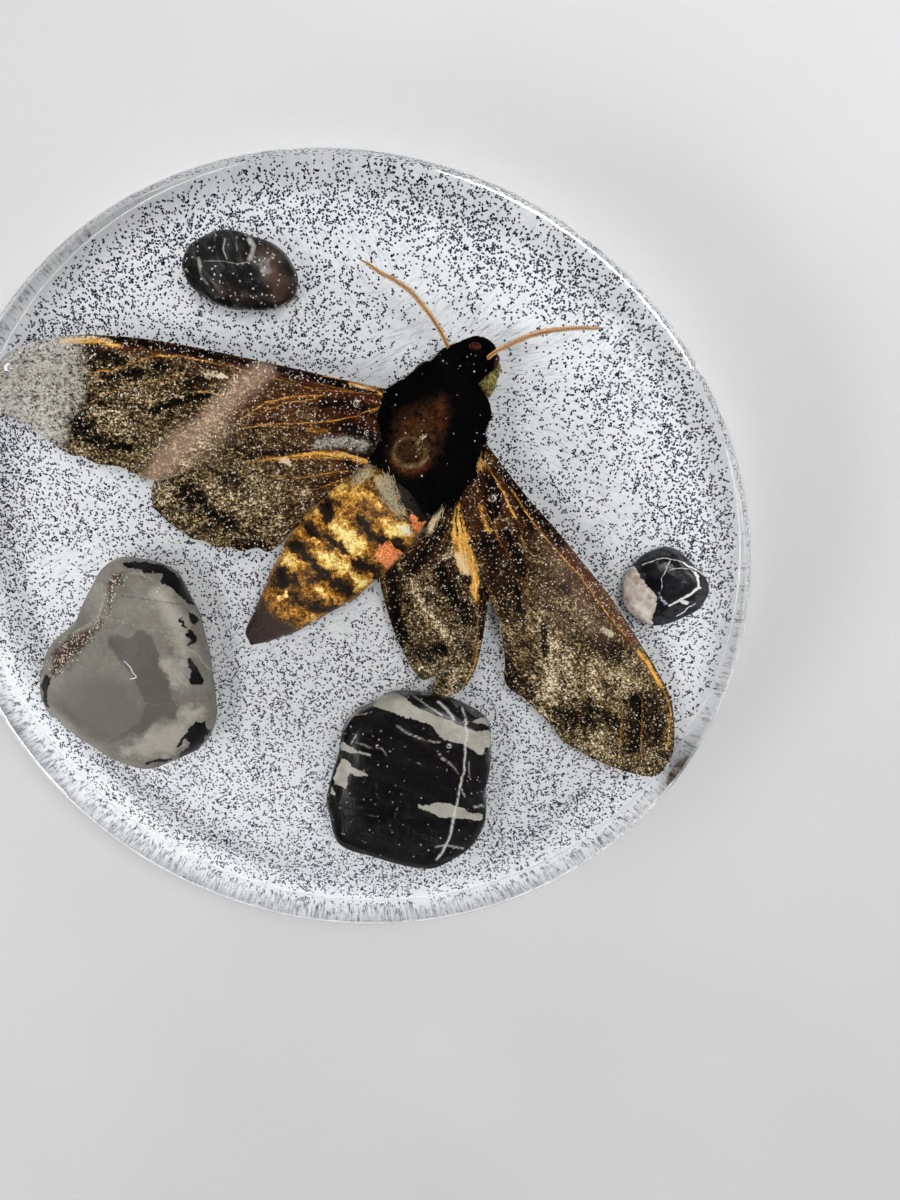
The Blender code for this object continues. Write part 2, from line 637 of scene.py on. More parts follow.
# %% Hairlines
HAIRLINES = 7000
LINE_WIDTH = 0.07 * MM
HALF_LENGTH = (0.5, 1.6)
CANDIDATES = 6 * HAIRLINES
UNBRUSHED = 0.06
PALE_SHARE = 0.6
FLOW = [
    (350, 255, 120), (400, 330, 22), (440, 300, 40), (480, 260, 60), (520, 375, 2), (560, 300, 42),
    (605, 335, 50), (560, 470, 152), (640, 420, 145), (640, 690, 132), (690, 660, 118), (600, 560, 145),
    (240, 620, 35), (320, 630, 22), (440, 730, 30), (100, 250, 50), (200, 210, 70), (60, 560, 30),
]


def flow_heading(places):
    """The brushing direction at each place. Directions are doubled before they are averaged, because a line
    that points east and one that points west are the same line."""
    anchors = into_block([f[:2] for f in FLOW], GLITTER_TOP)
    doubled = np.radians([2 * f[2] for f in FLOW])
    near = 1 / (np.linalg.norm(places[:, None] - anchors, axis=-1) / MM + 1) ** 3
    return np.arctan2(near @ np.sin(doubled), near @ np.cos(doubled)) / 2


def make_hairlines():
    spot = np.random.default_rng(11)
    reach = (RADIUS - 2 * MM) * np.sqrt(spot.random(CANDIDATES))
    bearing = spot.random(CANDIDATES) * 2 * np.pi
    places = np.column_stack([reach * np.cos(bearing), reach * np.sin(bearing)])
    points = np.column_stack([places, np.full(len(places), GLITTER_TOP)])
    places = places[spot.random(len(places)) < UNBRUSHED + ink(points, BRUSHED)][:HAIRLINES]
    count = len(places)
    heading = flow_heading(places) + spot.normal(0, 0.12, count)
    cos, sin = np.cos(heading), np.sin(heading)
    long = spot.uniform(*HALF_LENGTH, count) * MM
    turn = np.zeros((count, 3, 3))
    turn[:, 0, :2] = np.column_stack([cos, sin]) * long[:, None]
    turn[:, 1, :2] = np.column_stack([-sin, cos]) * LINE_WIDTH / 2
    finish = Finish("brushed_hairlines", Roughness=0.3, Specular_IOR_Level=0.3)
    finish.set(Base_Color=finish.mix(finish.mark("tone"), (0.42, 0.46, 0.52), (0.97, 0.98, 1.0)))
    sliver = np.array([(-1, 0, 0), (0, -1, 0), (1, 0, 0), (0, 1, 0)], float)
    lift = np.full(count, GLITTER_TOP + 0.015 * MM)
    many("brushed_hairlines", sliver, [[0, 1, 2, 3]], turn, np.column_stack([places, lift]), finish.material,
         marks={"tone": (spot.random(count) < PALE_SHARE) * 1.0})
    return count


print(make_hairlines(), "hairlines")

# %% [markdown]
# ## The wings
# A hawkmoth's wing is a thin membrane between its stiff leading edge and its soft trailing edge, with
# raised veins that fan out from the root. It is made as a ruled sheet: rows run from root to tip, columns
# from one edge to the other. The veins are lifted as ridges and the membrane sags a little between them.
# Scales cover it, so its finish is opaque: a dark ground, one random shade for each scale, and masks for
# gold, rust, black and pale places.

# %% What the wings' finish does


def wing_finish():
    """Scales from near black to beige by one lightness, which sums the masks, soft blots, fibres and each
    scale's own shade. Gold, rust and glare are laid over it, and where the wing is sheer the glitter
    shows through."""
    finish = Finish("wing_scales", Roughness=0.6, Specular_IOR_Level=0.0)
    here, along = finish.place(), finish.grain("along")
    gold, rust, black, pale = (finish.mark(name) for name in ("gold", "rust", "black", "pale"))
    glare, sheer, sheen, root = (finish.mark(name) for name in ("glare", "sheer", "sheen", "root"))
    cut = finish.mark("cut")
    scale, fleck = finish.cells(here, 5.0), finish.cells(here, 3.1)
    fibre = finish.noise(finish.stretch(along, (0.45, 6.0, 1)), 1.0, detail=3, rough=0.6)
    strand = finish.noise(finish.stretch(along, (0.35, 3.6, 1)), 1.0, detail=4, rough=0.7)
    blotch = finish.noise(here, 0.75, detail=5, rough=0.7)
    light = 0.26 + (blotch - 0.5) * 1.2 + (fibre - 0.5) * 1.4 + (strand - 0.5) * 0.9 - (black + cut) * 0.8
    light = light - root * 0.36 + pale * (strand + 0.1) * 0.9 + (scale - 0.5) * 0.95 + (fleck - 0.5) * 0.7
    colour = finish.mix(light.rises(-0.05, 0.50), (0.003, 0.0018, 0.001), (0.066, 0.042, 0.018))
    colour = finish.mix(light.rises(0.45, 0.85), colour, (0.26, 0.19, 0.095))
    colour = finish.mix(light.rises(0.85, 1.2), colour, (0.70, 0.63, 0.48))
    colour = finish.mix(root * strand.rises(0.35, 0.6) * 0.8, colour, (0.040, 0.012, 0.004))
    colour = finish.mix(root * fibre.rises(0.56, 0.72) * 0.55, colour, (0.26, 0.085, 0.015))
    silk = finish.mix(blotch.rises(0.35, 0.65), (0.035, 0.020, 0.017), (0.12, 0.066, 0.048))
    colour = finish.mix(sheen * (0.85 - scale * 0.4), colour, silk)
    colour = finish.mix(rust * 0.75 * (1.25 - scale * 0.6), colour, (0.050, 0.013, 0.006))
    night = (black * 1.3).rises(0.55, 1.1) * (1.0 - scale.rises(0.7, 1.0) * 0.5)
    colour = finish.mix(night, colour, (0.002, 0.0013, 0.0013))
    crumbs = (fleck + scale * 0.5 + (fibre - 0.5) * 1.2).rises(0.3, 1.15)
    open_scales = finish.mix(crumbs, (0.075, 0.062, 0.045), (0.86, 0.84, 0.77))
    colour = finish.mix(sheer * 0.85, colour, open_scales)
    rich = gold * 0.6 + (strand - 0.5) * 1.7 + (fibre - 0.5) * 0.9 + (scale - 0.5) * 0.35
    amber = finish.mix(rich.rises(0.1, 0.5), (0.11, 0.028, 0.005), (0.46, 0.20, 0.024))
    amber = finish.mix(rich.rises(0.5, 1.0), amber, (0.80, 0.56, 0.15))
    amber = finish.mix((pale + sheer).at_most(1.0) * 0.8, amber, (0.74, 0.60, 0.40))
    colour = finish.mix(((gold - cut) * (strand * 1.3 + 0.25)).rises(0.3, 0.85), colour, amber)
    colour = finish.mix(glare * (scale * 0.32 + 0.27), colour, (0.40, 0.27, 0.20))
    dust = finish.cells(here, 6.5).rises(0.955, 0.98) * 0.75
    finish.set(Base_Color=finish.mix(dust, colour, (0.62, 0.55, 0.42)),
               Alpha=1.0 - sheer * (0.15 + fleck * 0.4))
    finish.bump(scale + fibre, 0.03)
    return finish.material


WING_FINISH = wing_finish()
print("wing finish has", len(WING_FINISH.node_tree.nodes), "nodes")

# %% How a wing is built
WING_THICKNESS = 0.09 * MM
VEIN_HEIGHT = 0.10 * MM
WING_ROWS, WING_COLUMNS = 330, 150
WING_MASKS = ("gold", "rust", "black", "pale", "glare", "sheer", "sheen", "cut")
WING_TEAR = 0.25
LINE_TEAR = {"gold": 0.08, "cut": 0.08}
FIELD_SOFT = {"sheer": 3.0, "glare": 1.4}
VEIN_STROKE = (0.09, 0.5)
VEIN_RIDGE = 0.16
RIPPLE_HEIGHT = 0.10
RIPPLE_ACROSS, RIPPLE_ALONG = 23, 4
ROOT_REACH = 0.3
PIXELS_PER_MM = 7


def wing(name, leading, trailing, root, tip, veins, strokes, fields, arch=0.5, curl=0.0):
    """A thin sheet between two edges, each a list of pixels from root to tip. fields are outlines by mask.

    The height runs from root to tip in a straight line, in millimetres, plus an arch that is highest midway
    between the edges, a curl that lifts the trailing edge, a low ripple and the ridges of the veins.
    """
    u, v = np.linspace(0, 1, WING_ROWS)[:, None], np.linspace(0, 1, WING_COLUMNS)[None]
    edges = flowing(leading, WING_ROWS)[:, None], flowing(trailing, WING_ROWS)[:, None]
    pixels = (edges[0] * (1 - v[..., None]) + edges[1] * v[..., None]).reshape(-1, 2)
    height = (root + (tip - root) * u + arch * 4 * v * (1 - v) * (1 - 0.6 * u) + curl * v**2 * u)
    height = height + RIPPLE_HEIGHT * np.sin(v * RIPPLE_ACROSS + u * RIPPLE_ALONG) * np.minimum(1, 5 * u)
    height = np.broadcast_to(height, (WING_ROWS, WING_COLUMNS)).reshape(-1) * MM
    flat = np.column_stack([into_block(pixels, height), height])
    ridge = ink(flat, [(VEIN_RIDGE, 1.0, vein) for vein in veins])
    flat[:, 2] += ridge * VEIN_HEIGHT
    length = np.linalg.norm(np.diff(edges[0][:, 0], axis=0), axis=1).sum()
    grid = flat.reshape(WING_ROWS, WING_COLUMNS, 3)

    def marks(points):
        span, chord = np.repeat(u[:, 0], WING_COLUMNS), np.tile(v[0], WING_ROWS)
        run = np.linalg.norm(grid[:, -1] - grid[:, 0], axis=1).repeat(WING_COLUMNS) / MM
        drawn = strokes | {"gold": strokes["gold"] + [(*VEIN_STROKE, vein) for vein in veins]}
        found = {kind: ink(points, drawn.get(kind, []),
                           LINE_TEAR.get(kind, WING_TEAR)) for kind in WING_MASKS}
        for kind, outlines in fields.items():
            found[kind] = np.maximum(found[kind],
                                     area(points, outlines, FIELD_SOFT.get(kind, 0.5), WING_TEAR))
        found["root"] = np.exp(-((span / ROOT_REACH) ** 2))
        found["along"] = np.column_stack([span * length / PIXELS_PER_MM, chord * run, 0 * span])
        return found

    obj = skin(name, grid, WING_FINISH, marks=marks)
    if np.cross(grid[-1, 0] - grid[0, 0], grid[WING_ROWS // 2, -1] - grid[WING_ROWS // 2, 0])[2] > 0:
        obj.data.flip_normals()
    wall = obj.modifiers.new("membrane", "SOLIDIFY")
    wall.thickness = WING_THICKNESS
    wall.offset = -1
    return obj


# %% [markdown]
# ### The left forewing
# Its edges, its veins and its marks are read off the photograph as pixels. The leading edge is near black
# with gold flecks, a gold vein runs behind it, and the tip is washed out by scales that lie open.

# %% The left forewing
left_forewing = wing(
    "left_forewing",
    leading=[(392, 390), (332, 377), (270, 363), (204, 349), (153, 340), (115, 336), (77, 335), (43, 339),
             (15, 349), (0, 361), (-8, 380)],
    trailing=[(372, 458), (339, 451), (306, 450), (255, 456), (217, 463), (179, 473), (160, 482), (153, 480),
              (143, 478), (128, 470), (115, 466), (97, 464), (84, 456), (71, 455), (51, 442), (28, 426),
              (0, 410), (-8, 380)],
    root=8.6, tip=7.2,
    veins=[
        [(384, 396), (350, 391), (299, 385), (250, 369), (222, 365), (196, 359), (157, 354), (128, 364),
         (83, 375),
         (59, 382), (20, 388)],
        [(382, 402), (340, 396), (300, 396), (264, 404), (236, 412), (199, 378), (160, 380), (134, 384),
         (96, 396),
         (60, 412), (30, 420)],
        [(381, 407), (341, 419), (296, 424), (264, 415), (210, 392), (172, 393), (122, 403), (94, 426),
         (83, 437)],
        [(296, 424), (250, 432), (208, 415), (179, 417), (144, 424), (108, 440), (89, 452)],
        [(313, 423), (278, 426), (233, 424), (208, 432), (180, 442), (128, 462)],
        [(341, 419), (278, 430), (226, 442), (194, 456), (165, 470)],
    ],
    strokes={
        "gold": [
            (0.45, 1.0, [(61, 342), (80, 340), (98, 341), (118, 346)]),
            (0.09, 0.9, [(323, 376), (350, 381), (387, 389)]),
            (0.3, 0.9, [(350, 384), (364, 387), (374, 390)]),
            (0.13, 0.8, [(88, 372), (110, 371), (133, 363), (151, 356)]),
            (0.12, 0.9, [(151, 356), (179, 356), (205, 361)]),
            (0.08, 0.75,
             [(205, 361), (228, 366), (251, 372), (287, 382), (318, 390), (354, 392), (384, 395)]),
            (0.07, 0.6, [(274, 371), (305, 381), (354, 391)]), (0.35, 1.0, [(379, 393), (386, 399)]),
            (0.3, 0.8, [(369, 411), (378, 409), (386, 403)]),
            (0.35, 0.55, [(321, 396), (287, 398), (267, 403)]),
            (0.10, 0.9, [(323, 395), (287, 397), (267, 402), (241, 419)]),
            (0.10, 0.8, [(318, 399), (290, 402), (262, 412)]),
            (0.14, 0.85, [(199, 391), (210, 392), (221, 396)]),
            (0.10, 0.85, [(239, 429), (269, 424), (307, 423), (328, 422), (353, 417), (369, 411)]),
            (0.6, 0.6, [(308, 430), (326, 431)]), (0.5, 0.35, [(332, 430), (343, 429)]),
            (0.08, 0.65, [(89, 403), (110, 393), (133, 385), (179, 377), (194, 373)]),
            (0.3, 0.4, [(141, 422), (159, 427)]), (0.12, 0.4, [(105, 450), (140, 458)]),
            (0.09, 0.8, [(0, 385), (30, 375), (64, 363)]),
            (0.09, 0.8, [(23, 412), (46, 396), (59, 389), (77, 384)]),
        ],
        "rust": [
            (0.7, 1.0, [(104, 344), (125, 347), (160, 352)]),
            (2.2, 0.85, [(235, 402), (262, 402), (290, 410)]),
            (0.9, 0.9, [(300, 385), (345, 392), (375, 400)]),
            (0.8, 0.8, [(160, 348), (220, 360), (280, 375)]),
            (1.2, 0.8, [(330, 405), (365, 408)]),
        ],
        "black": [
            (1.3, 1.0, [(78, 423), (84, 430)]), (0.8, 0.9, [(94, 440), (128, 447)]),
            (0.7, 1.0, [(157, 366), (163, 367)]),
            (0.65, 1.0,
             [(118, 341), (150, 345), (200, 353), (250, 364), (300, 375), (345, 385), (378, 393)]),
            (0.4, 1.0, [(150, 412), (172, 404), (199, 397), (216, 393)]),
            (0.9, 0.7, [(95, 352), (120, 360)]),
            (1.3, 0.85, [(325, 404), (352, 404), (372, 412)]), (1.8, 0.85, [(345, 424), (372, 440)]),
            (0.45, 0.8, [(105, 378), (140, 372)]), (1.0, 0.6, [(190, 384), (215, 372)]),
            (0.8, 0.5, [(110, 405), (90, 400)]),
            (0.5, 0.9, [(372, 440), (366, 455)]), (0.3, 0.7, [(300, 449), (250, 455)]),
        ],
        "pale": [
            (3.0, 0.75, [(5, 385), (30, 395), (45, 420)]), (2.4, 0.5, [(35, 365), (60, 400)]),
            (1.6, 0.55, [(100, 410), (118, 415), (120, 432)]),
            (2.2, 0.75, [(245, 385), (215, 425), (185, 458)]),
            (0.9, 0.7, [(288, 412), (312, 413)]), (0.35, 4.0, [(204, 374), (216, 374), (224, 376)]),
            (1.4, 0.4, [(270, 440), (300, 440)]), (1.2, 0.4, [(130, 395), (150, 400)]),
            (0.2, 1.0, [(356, 386), (371, 387)]),
            (0.12, 1.2, [(64, 338), (90, 337), (112, 340)]),
        ],
        "glare": [(1.2, 0.4, [(225, 430), (190, 462)])],
        "sheer": [(0.5, 1.6, [(318, 444), (340, 441), (363, 445)])],
    },
    fields={"sheer": [[(-24, 380), (-14, 350), (12, 335), (40, 325), (68, 325), (77, 350), (78, 372),
                       (77, 392), (70, 408),
                       (60, 414), (62, 432), (52, 456), (24, 438), (-6, 426)]],
            "glare": [[(259, 364), (228, 386), (199, 417), (179, 432), (164, 445), (143, 478), (160, 482),
                       (190, 452),
                       (216, 428), (241, 402), (267, 380), (276, 370)]]},
)
print("left forewing:", len(left_forewing.data.polygons), "faces a side")

# %% [markdown]
# ### The right forewing
# It reaches the wall, where its tip is cut into by the block's edge and mirrors in it. Ochre stripes run
# along its outer third between paler fields.

# %% The right forewing
right_forewing = wing(
    "right_forewing",
    leading=[(484, 440), (501, 463), (528, 498), (554, 527), (581, 560), (608, 594), (635, 635), (656, 669),
             (670, 696), (674, 720), (674, 747), (668, 764)],
    trailing=[(462, 462), (472, 520), (486, 584), (490, 600), (498, 621), (503, 643), (505, 664), (504, 677),
              (509, 688), (525, 699), (538, 712), (552, 726), (562, 740), (581, 752), (603, 763), (624, 771),
              (645, 776), (658, 775), (668, 764)],
    root=9.0, tip=5.6, curl=0.3,
    veins=[
        [(488, 466), (510, 488), (526, 514), (543, 534), (560, 555), (579, 577), (600, 600), (614, 624),
         (634, 650), (655, 690), (664, 730)],
        [(486, 470), (498, 482), (514, 514), (523, 538), (539, 566), (560, 600), (590, 640), (619, 667),
         (642, 700),
         (643, 734), (641, 767)],
        [(539, 566), (565, 605), (592, 645), (602, 680), (620, 714), (615, 754)],
        [(489, 490), (498, 538), (527, 551), (556, 590), (576, 627), (584, 684), (580, 714), (578, 745)],
        [(482, 503), (498, 538), (528, 588), (540, 610), (558, 634), (558, 687), (556, 722)],
        [(477, 478), (482, 503), (506, 551), (525, 600), (530, 634), (528, 697)],
    ],
    strokes={
        "gold": [
            (0.5, 1.1, [(470, 460), (476, 453), (481, 461)]),
            (0.09, 0.9, [(474, 466), (476, 478), (478, 492)]),
            (0.15, 0.85, [(488, 468), (497, 481), (503, 492)]),
            (0.25, 1.0, [(503, 492), (509, 505), (515, 517)]),
            (0.5, 0.75, [(480, 507), (484, 520), (488, 529)]), (0.3, 1.0, [(485, 530), (491, 531)]),
            (0.08, 0.8, [(495, 530), (502, 547)]), (0.4, 0.5, [(495, 519), (500, 529)]),
            (0.08, 0.9, [(510, 487), (521, 503), (532, 520)]),
            (0.09, 1.0, [(524, 510), (535, 525), (553, 547), (577, 572)]),
            (0.09, 1.0, [(577, 572), (593, 594), (609, 616), (623, 633), (633, 645)]),
            (0.12, 0.7, [(522, 537), (524, 548), (538, 560)]),
            (0.45, 1.0, [(639, 652), (648, 664), (661, 686)]),
            (0.2, 0.75, [(661, 686), (668, 700), (671, 713), (669, 734), (667, 750)]),
            (0.16, 0.6, [(527, 574), (528, 600), (529, 637)]),
            (0.22, 0.6, [(557, 632), (558, 675), (558, 693)]),
            (0.22, 0.6, [(582, 655), (584, 701)]), (0.18, 0.55, [(600, 660), (601, 705)]),
            (0.2, 0.5, [(621, 664), (625, 678)]),
            (0.2, 0.6, [(623, 704), (619, 757)]), (0.2, 0.6, [(643, 703), (640, 757)]),
            (0.15, 0.6, [(642, 673), (642, 689)]),
            (0.25, 0.4, [(513, 560), (524, 590)]), (0.25, 0.4, [(600, 750), (630, 766)]),
        ],
        "sheen": [
            (1.6, 0.9, [(553, 562), (577, 596), (603, 634)]),
            (0.8, 0.9, [(560, 542), (598, 588), (636, 646)]),
            (1.4, 0.5, [(545, 596), (562, 628)]),
        ],
        "rust": [
            (1.1, 0.9, [(545, 525), (575, 562), (605, 600), (630, 640)]),
            (0.6, 0.9, [(500, 500), (515, 520)]),
        ],
        "black": [
            (1.0, 1.0, [(489, 482), (494, 505)]),
            (0.65, 1.0, [(497, 466), (525, 500), (548, 528), (562, 545)]),
            (1.4, 0.75, [(488, 538), (496, 560)]), (1.5, 0.5, [(505, 560), (510, 610)]),
            (0.9, 0.8, [(517, 500), (532, 530)]),
            (0.8, 0.9, [(505, 530), (517, 556), (524, 575)]), (0.5, 0.9, [(517, 585), (519, 610)]),
            (0.45, 1.0, [(544, 626), (545, 655)]), (1.5, 0.6, [(598, 640), (615, 654)]),
            (0.9, 0.6, [(556, 583), (566, 589)]),
            (1.5, 0.75, [(634, 700), (642, 716), (634, 745)]), (0.9, 0.65, [(655, 700), (658, 740)]),
            (1.2, 0.65, [(558, 712), (590, 722)]), (1.2, 0.5, [(508, 665), (522, 690)]),
            (0.8, 0.7, [(485, 545), (492, 580)]),
            (0.9, 0.6, [(602, 714), (618, 726)]), (0.5, 0.6, [(588, 700), (592, 715)]),
        ],
        "pale": [
            (1.3, 1.0, [(548, 630), (552, 665), (550, 700)]), (0.9, 0.9, [(567, 650), (570, 690)]),
            (1.1, 0.75, [(592, 665), (594, 695)]), (1.3, 0.85, [(610, 668), (626, 680), (622, 700)]),
            (1.1, 0.7, [(537, 612), (545, 640)]), (0.8, 0.9, [(542, 710), (548, 718)]),
            (0.3, 6.0, [(603, 630), (610, 634)]),
            (1.2, 0.4, [(500, 620), (512, 640)]), (1.0, 0.6, [(596, 745), (612, 758)]),
            (1.4, 0.45, [(565, 600), (590, 615)]),
            (1.2, 0.4, [(540, 540), (555, 560)]), (0.15, 1.5, [(487, 458), (493, 465)]),
            (0.3, 0.8, [(470, 460), (478, 452)]),
            (1.2, 0.5, [(600, 735), (585, 745)]), (1.3, 0.5, [(636, 684), (620, 668)]),
            (0.7, 0.5, [(634, 740), (650, 755)]),
        ],
    },
    fields={"black": [[(486, 480), (493, 478), (500, 490), (501, 508), (498, 520), (491, 521), (486, 505)],
                      [(474, 541), (490, 539), (504, 541), (500, 547), (486, 549), (475, 555)]]},
)
print("right forewing:", len(right_forewing.data.polygons), "faces a side")

# %% [markdown]
# ### The hindwings
# They lie under the forewings, so their leading edges run on out of sight beneath them. The left one shows a
# gold stripe and two dark spots, the right one a gold wedge, and its tip is torn.

# %% The left hindwing
left_hindwing = wing(
    "left_hindwing",
    leading=[(378, 455), (339, 446), (306, 444), (255, 450), (217, 457), (179, 467), (158, 476), (152, 490),
             (153, 506)],
    trailing=[(372, 466), (351, 477), (325, 502), (301, 524), (291, 531), (281, 544), (268, 552), (258, 548),
              (242, 551), (230, 547), (217, 547), (204, 541), (193, 539), (184, 533), (175, 527), (166, 520),
              (153, 506)],
    root=7.9, tip=6.4, arch=0.3,
    veins=[
        [(366, 463), (325, 458), (278, 459), (239, 459), (203, 466), (165, 480)],
        [(348, 470), (317, 476), (278, 478), (240, 482), (198, 490), (165, 505)],
        [(348, 470), (301, 485), (270, 500), (235, 515), (205, 535)],
        [(325, 474), (301, 488), (270, 509), (245, 530), (232, 546)],
        [(340, 482), (310, 500), (278, 521), (258, 540)],
        [(351, 478), (325, 500), (301, 520), (288, 530)],
    ],
    strokes={
        "gold": [
            (0.3, 0.7, [(284, 457), (262, 460), (245, 463)]),
            (0.12, 0.8, [(297, 479), (332, 472), (348, 471)]),
            (0.12, 0.7, [(348, 478), (311, 491), (293, 504)]), (0.6, 0.45, [(272, 476), (290, 480)]),
            (0.3, 0.4, [(160, 493), (198, 472)]), (0.5, 0.4, [(290, 505), (270, 525)]),
        ],
        "rust": [(1.0, 0.6, [(330, 460), (360, 466)])],
        "black": [
            (1.3, 1.0, [(188, 495), (198, 496)]), (0.9, 0.8, [(205, 507), (215, 515)]),
            (1.1, 0.95, [(222, 521), (230, 522)]),
            (0.5, 0.9, [(345, 463), (368, 470)]), (0.9, 0.5, [(225, 478), (240, 482)]),
            (0.6, 0.6, [(240, 545), (265, 545)]),
            (0.5, 0.6, [(316, 488), (330, 482)]),
        ],
        "pale": [
            (1.8, 0.6, [(215, 495), (240, 505), (262, 500)]), (0.6, 0.9, [(296, 494), (308, 490)]),
            (1.6, 0.5, [(250, 480), (280, 492)]), (1.0, 0.5, [(170, 490), (160, 500)]),
            (0.13, 1.6, [(157, 480), (198, 467), (218, 460), (238, 459)]),
            (0.35, 0.6, [(310, 463), (340, 468)]),
            (0.35, 3.0, [(282, 461), (289, 464)]), (0.15, 1.5, [(335, 491), (340, 490)]),
            (1.0, 0.45, [(268, 530), (285, 520)]),
        ],
        "cut": [
            (0.11, 1.0, [(296, 452), (325, 449), (345, 451), (364, 458)]),
            (0.07, 0.9, [(288, 457), (325, 456), (352, 459)]),
        ],
    },
    fields={"gold": [[(268, 459), (285, 455), (310, 450), (342, 450), (362, 456), (371, 465), (358, 463),
                      (335, 459),
                      (310, 459), (285, 461)]]},
)

# %% The right hindwing
right_hindwing = wing(
    "right_hindwing",
    leading=[(470, 478), (482, 520), (488, 560), (490, 590), (487, 612), (481, 648), (474, 672), (463, 688),
             (448, 697)],
    trailing=[(448, 485), (436, 515), (424, 532), (404, 551), (384, 575), (380, 582), (387, 610), (396, 637),
              (407, 659), (413, 670), (420, 678), (424, 680), (430, 674), (436, 667), (438, 672), (432, 688),
              (436, 695), (448, 697)],
    root=7.8, tip=5.6, arch=0.35,
    fields={"gold": [[(458, 501), (453, 517), (452, 538), (454, 550), (456, 561), (460, 571), (465, 577),
                      (470, 575),
                      (469, 584), (472, 595), (474, 604), (479, 592), (479, 571), (473, 551), (467, 529),
                      (461, 514)]],
            "pale": [[(452, 546), (451, 559), (443, 559), (441, 556)]]},
    veins=[
        [(464, 500), (478, 545), (484, 580), (482, 620), (474, 660)],
        [(462, 505), (466, 560), (470, 600), (468, 640), (462, 670)],
        [(460, 505), (450, 560), (446, 600), (448, 640), (448, 665)],
        [(458, 505), (440, 558), (426, 576), (418, 610), (424, 640)],
        [(455, 505), (425, 545), (405, 580), (400, 610), (408, 640)],
    ],
    strokes={
        "gold": [
            (0.10, 0.7, [(479, 591), (478, 644), (475, 664), (464, 687)]),
        ],
        "cut": [
            (0.12, 1.0, [(457, 509), (456, 521), (458, 535)]), (0.09, 0.8, [(460, 517), (463, 533)]),
            (0.5, 0.9, [(464, 579), (468, 581)]),
        ],
        "rust": [(0.8, 0.6, [(470, 500), (480, 530)])],
        "black": [
            (1.2, 1.0, [(440, 528), (426, 552), (412, 566)]),
            (0.9, 0.9, [(440, 568), (450, 590), (458, 605)]),
            (0.3, 1.0, [(481, 591), (483, 602), (481, 637)]),
            (1.0, 0.9, [(392, 575), (395, 610), (402, 640)]),
            (0.7, 0.6, [(455, 640), (468, 655)]), (0.9, 0.8, [(465, 605), (468, 620)]),
            (1.0, 0.8, [(420, 655), (442, 648)]),
        ],
        "pale": [
            (0.75, 1.0, [(413, 583), (421, 602), (431, 620), (442, 631), (456, 645)]),
            (0.12, 1.4, [(442, 559), (426, 575)]),
            (0.6, 0.9, [(459, 557), (462, 565), (466, 572)]),
            (0.45, 1.3, [(457, 671), (453, 683), (449, 694)]),
            (0.5, 0.5, [(420, 668), (416, 660)]),
        ],
    },
)
print("four wings,",
      sum(len(w.data.polygons) for w in (left_forewing, right_forewing, left_hindwing, right_hindwing)) * 2,
      "quads with both sides")

# %% [markdown]
# ## Rounded bodies
# The thorax, the head, the eyes and the stones are all rounded solids over an outline. Rings run from the
# bottom to the top: each is the outline shrunk towards its middle, as a circle of latitude shrinks towards
# a pole. A power above 2 makes the solid flatter on top and fuller at its side, as a tumbled stone is.

# %% A solid over an outline


def rounded(outline, middle, up, down, fullness=2.0, rows=60, columns=180):
    """A grid of points for a closed solid over an outline of pixels, with its widest ring at middle.

    On the ring at latitude a the outline is scaled by cos(a) to the power 2 over fullness, and the height
    is up or down times sin(a) to the same power. All heights are in millimetres.
    """
    ring = into_block(flowing(outline, columns, closed=True), middle * MM)
    heart = ring.mean(axis=0)
    after = np.roll(ring, -1, axis=0)
    if (ring[:, 0] * after[:, 1] - ring[:, 1] * after[:, 0]).sum() < 0:
        ring = ring[::-1]
    latitude = np.linspace(-np.pi / 2 * 0.985, np.pi / 2 * 0.985, rows)[:, None]
    shrink = np.cos(latitude) ** (2 / fullness)
    reach = np.where(latitude > 0, up, down) * np.sign(latitude) * np.abs(np.sin(latitude)) ** (2 / fullness)
    grid = np.empty((rows, columns, 3))
    grid[..., :2] = heart + (ring - heart) * shrink[..., None]
    grid[..., 2] = (middle + reach) * MM
    return grid


def lumpy(grid, size, depth, seed):
    """The grid with each point moved along its own outward direction by a smooth random field."""
    places = grid.reshape(-1, 3)
    outward = unit(places - places.mean(axis=0))
    field = drift(places[:, :2] + places[:, 2:] * 0.7, size * MM, seed)
    return (places + outward * field[:, None] * depth * MM).reshape(grid.shape)


BOTH = ("first", "last")

# %% [markdown]
# ## Hair
# Fur, tufts and bristles are spikes: a thin three-sided pyramid is closed, costs four triangles and looks
# like a hair at this size. Each grows from a point of a surface and leans the way it is combed.

# %% Spikes
SPIKE = np.array([(1, 0, 0), (-0.5, 0.866, 0), (-0.5, -0.866, 0), (0, 0, 1)], float)
SPIKE_FACES = [[0, 2, 1], [0, 1, 3], [1, 2, 3], [2, 0, 3]]


def spikes(name, roots, heading, lengths, width, material, marks=None):
    """Many thin pyramids. Each stands on its root, along its own heading, with its own length in metres."""
    heading = unit(heading)
    side = unit(np.cross(heading, (0.31, 0.17, 0.93)))
    other = np.cross(heading, side)
    turns = np.stack([side * width * MM, other * width * MM, heading * lengths[:, None]], axis=1)
    return many(name, SPIKE, SPIKE_FACES, turns, roots, material, marks=marks)


def scattered(grid, count, source):
    """Random places on a closed grid, with the outward direction at each."""
    rows, columns = grid.shape[:2]
    r, c = source.random(count) * (rows - 2), source.integers(0, columns, count)
    low = r.astype(int)
    share = (r - low)[:, None]
    places = grid[low, c] * (1 - share) + grid[low + 1, c] * share
    across = grid[low, (c + 1) % columns] - grid[low, c]
    return places, unit(np.cross(across, grid[low + 1, c] - grid[low, c]))


print("solids and spikes ready")

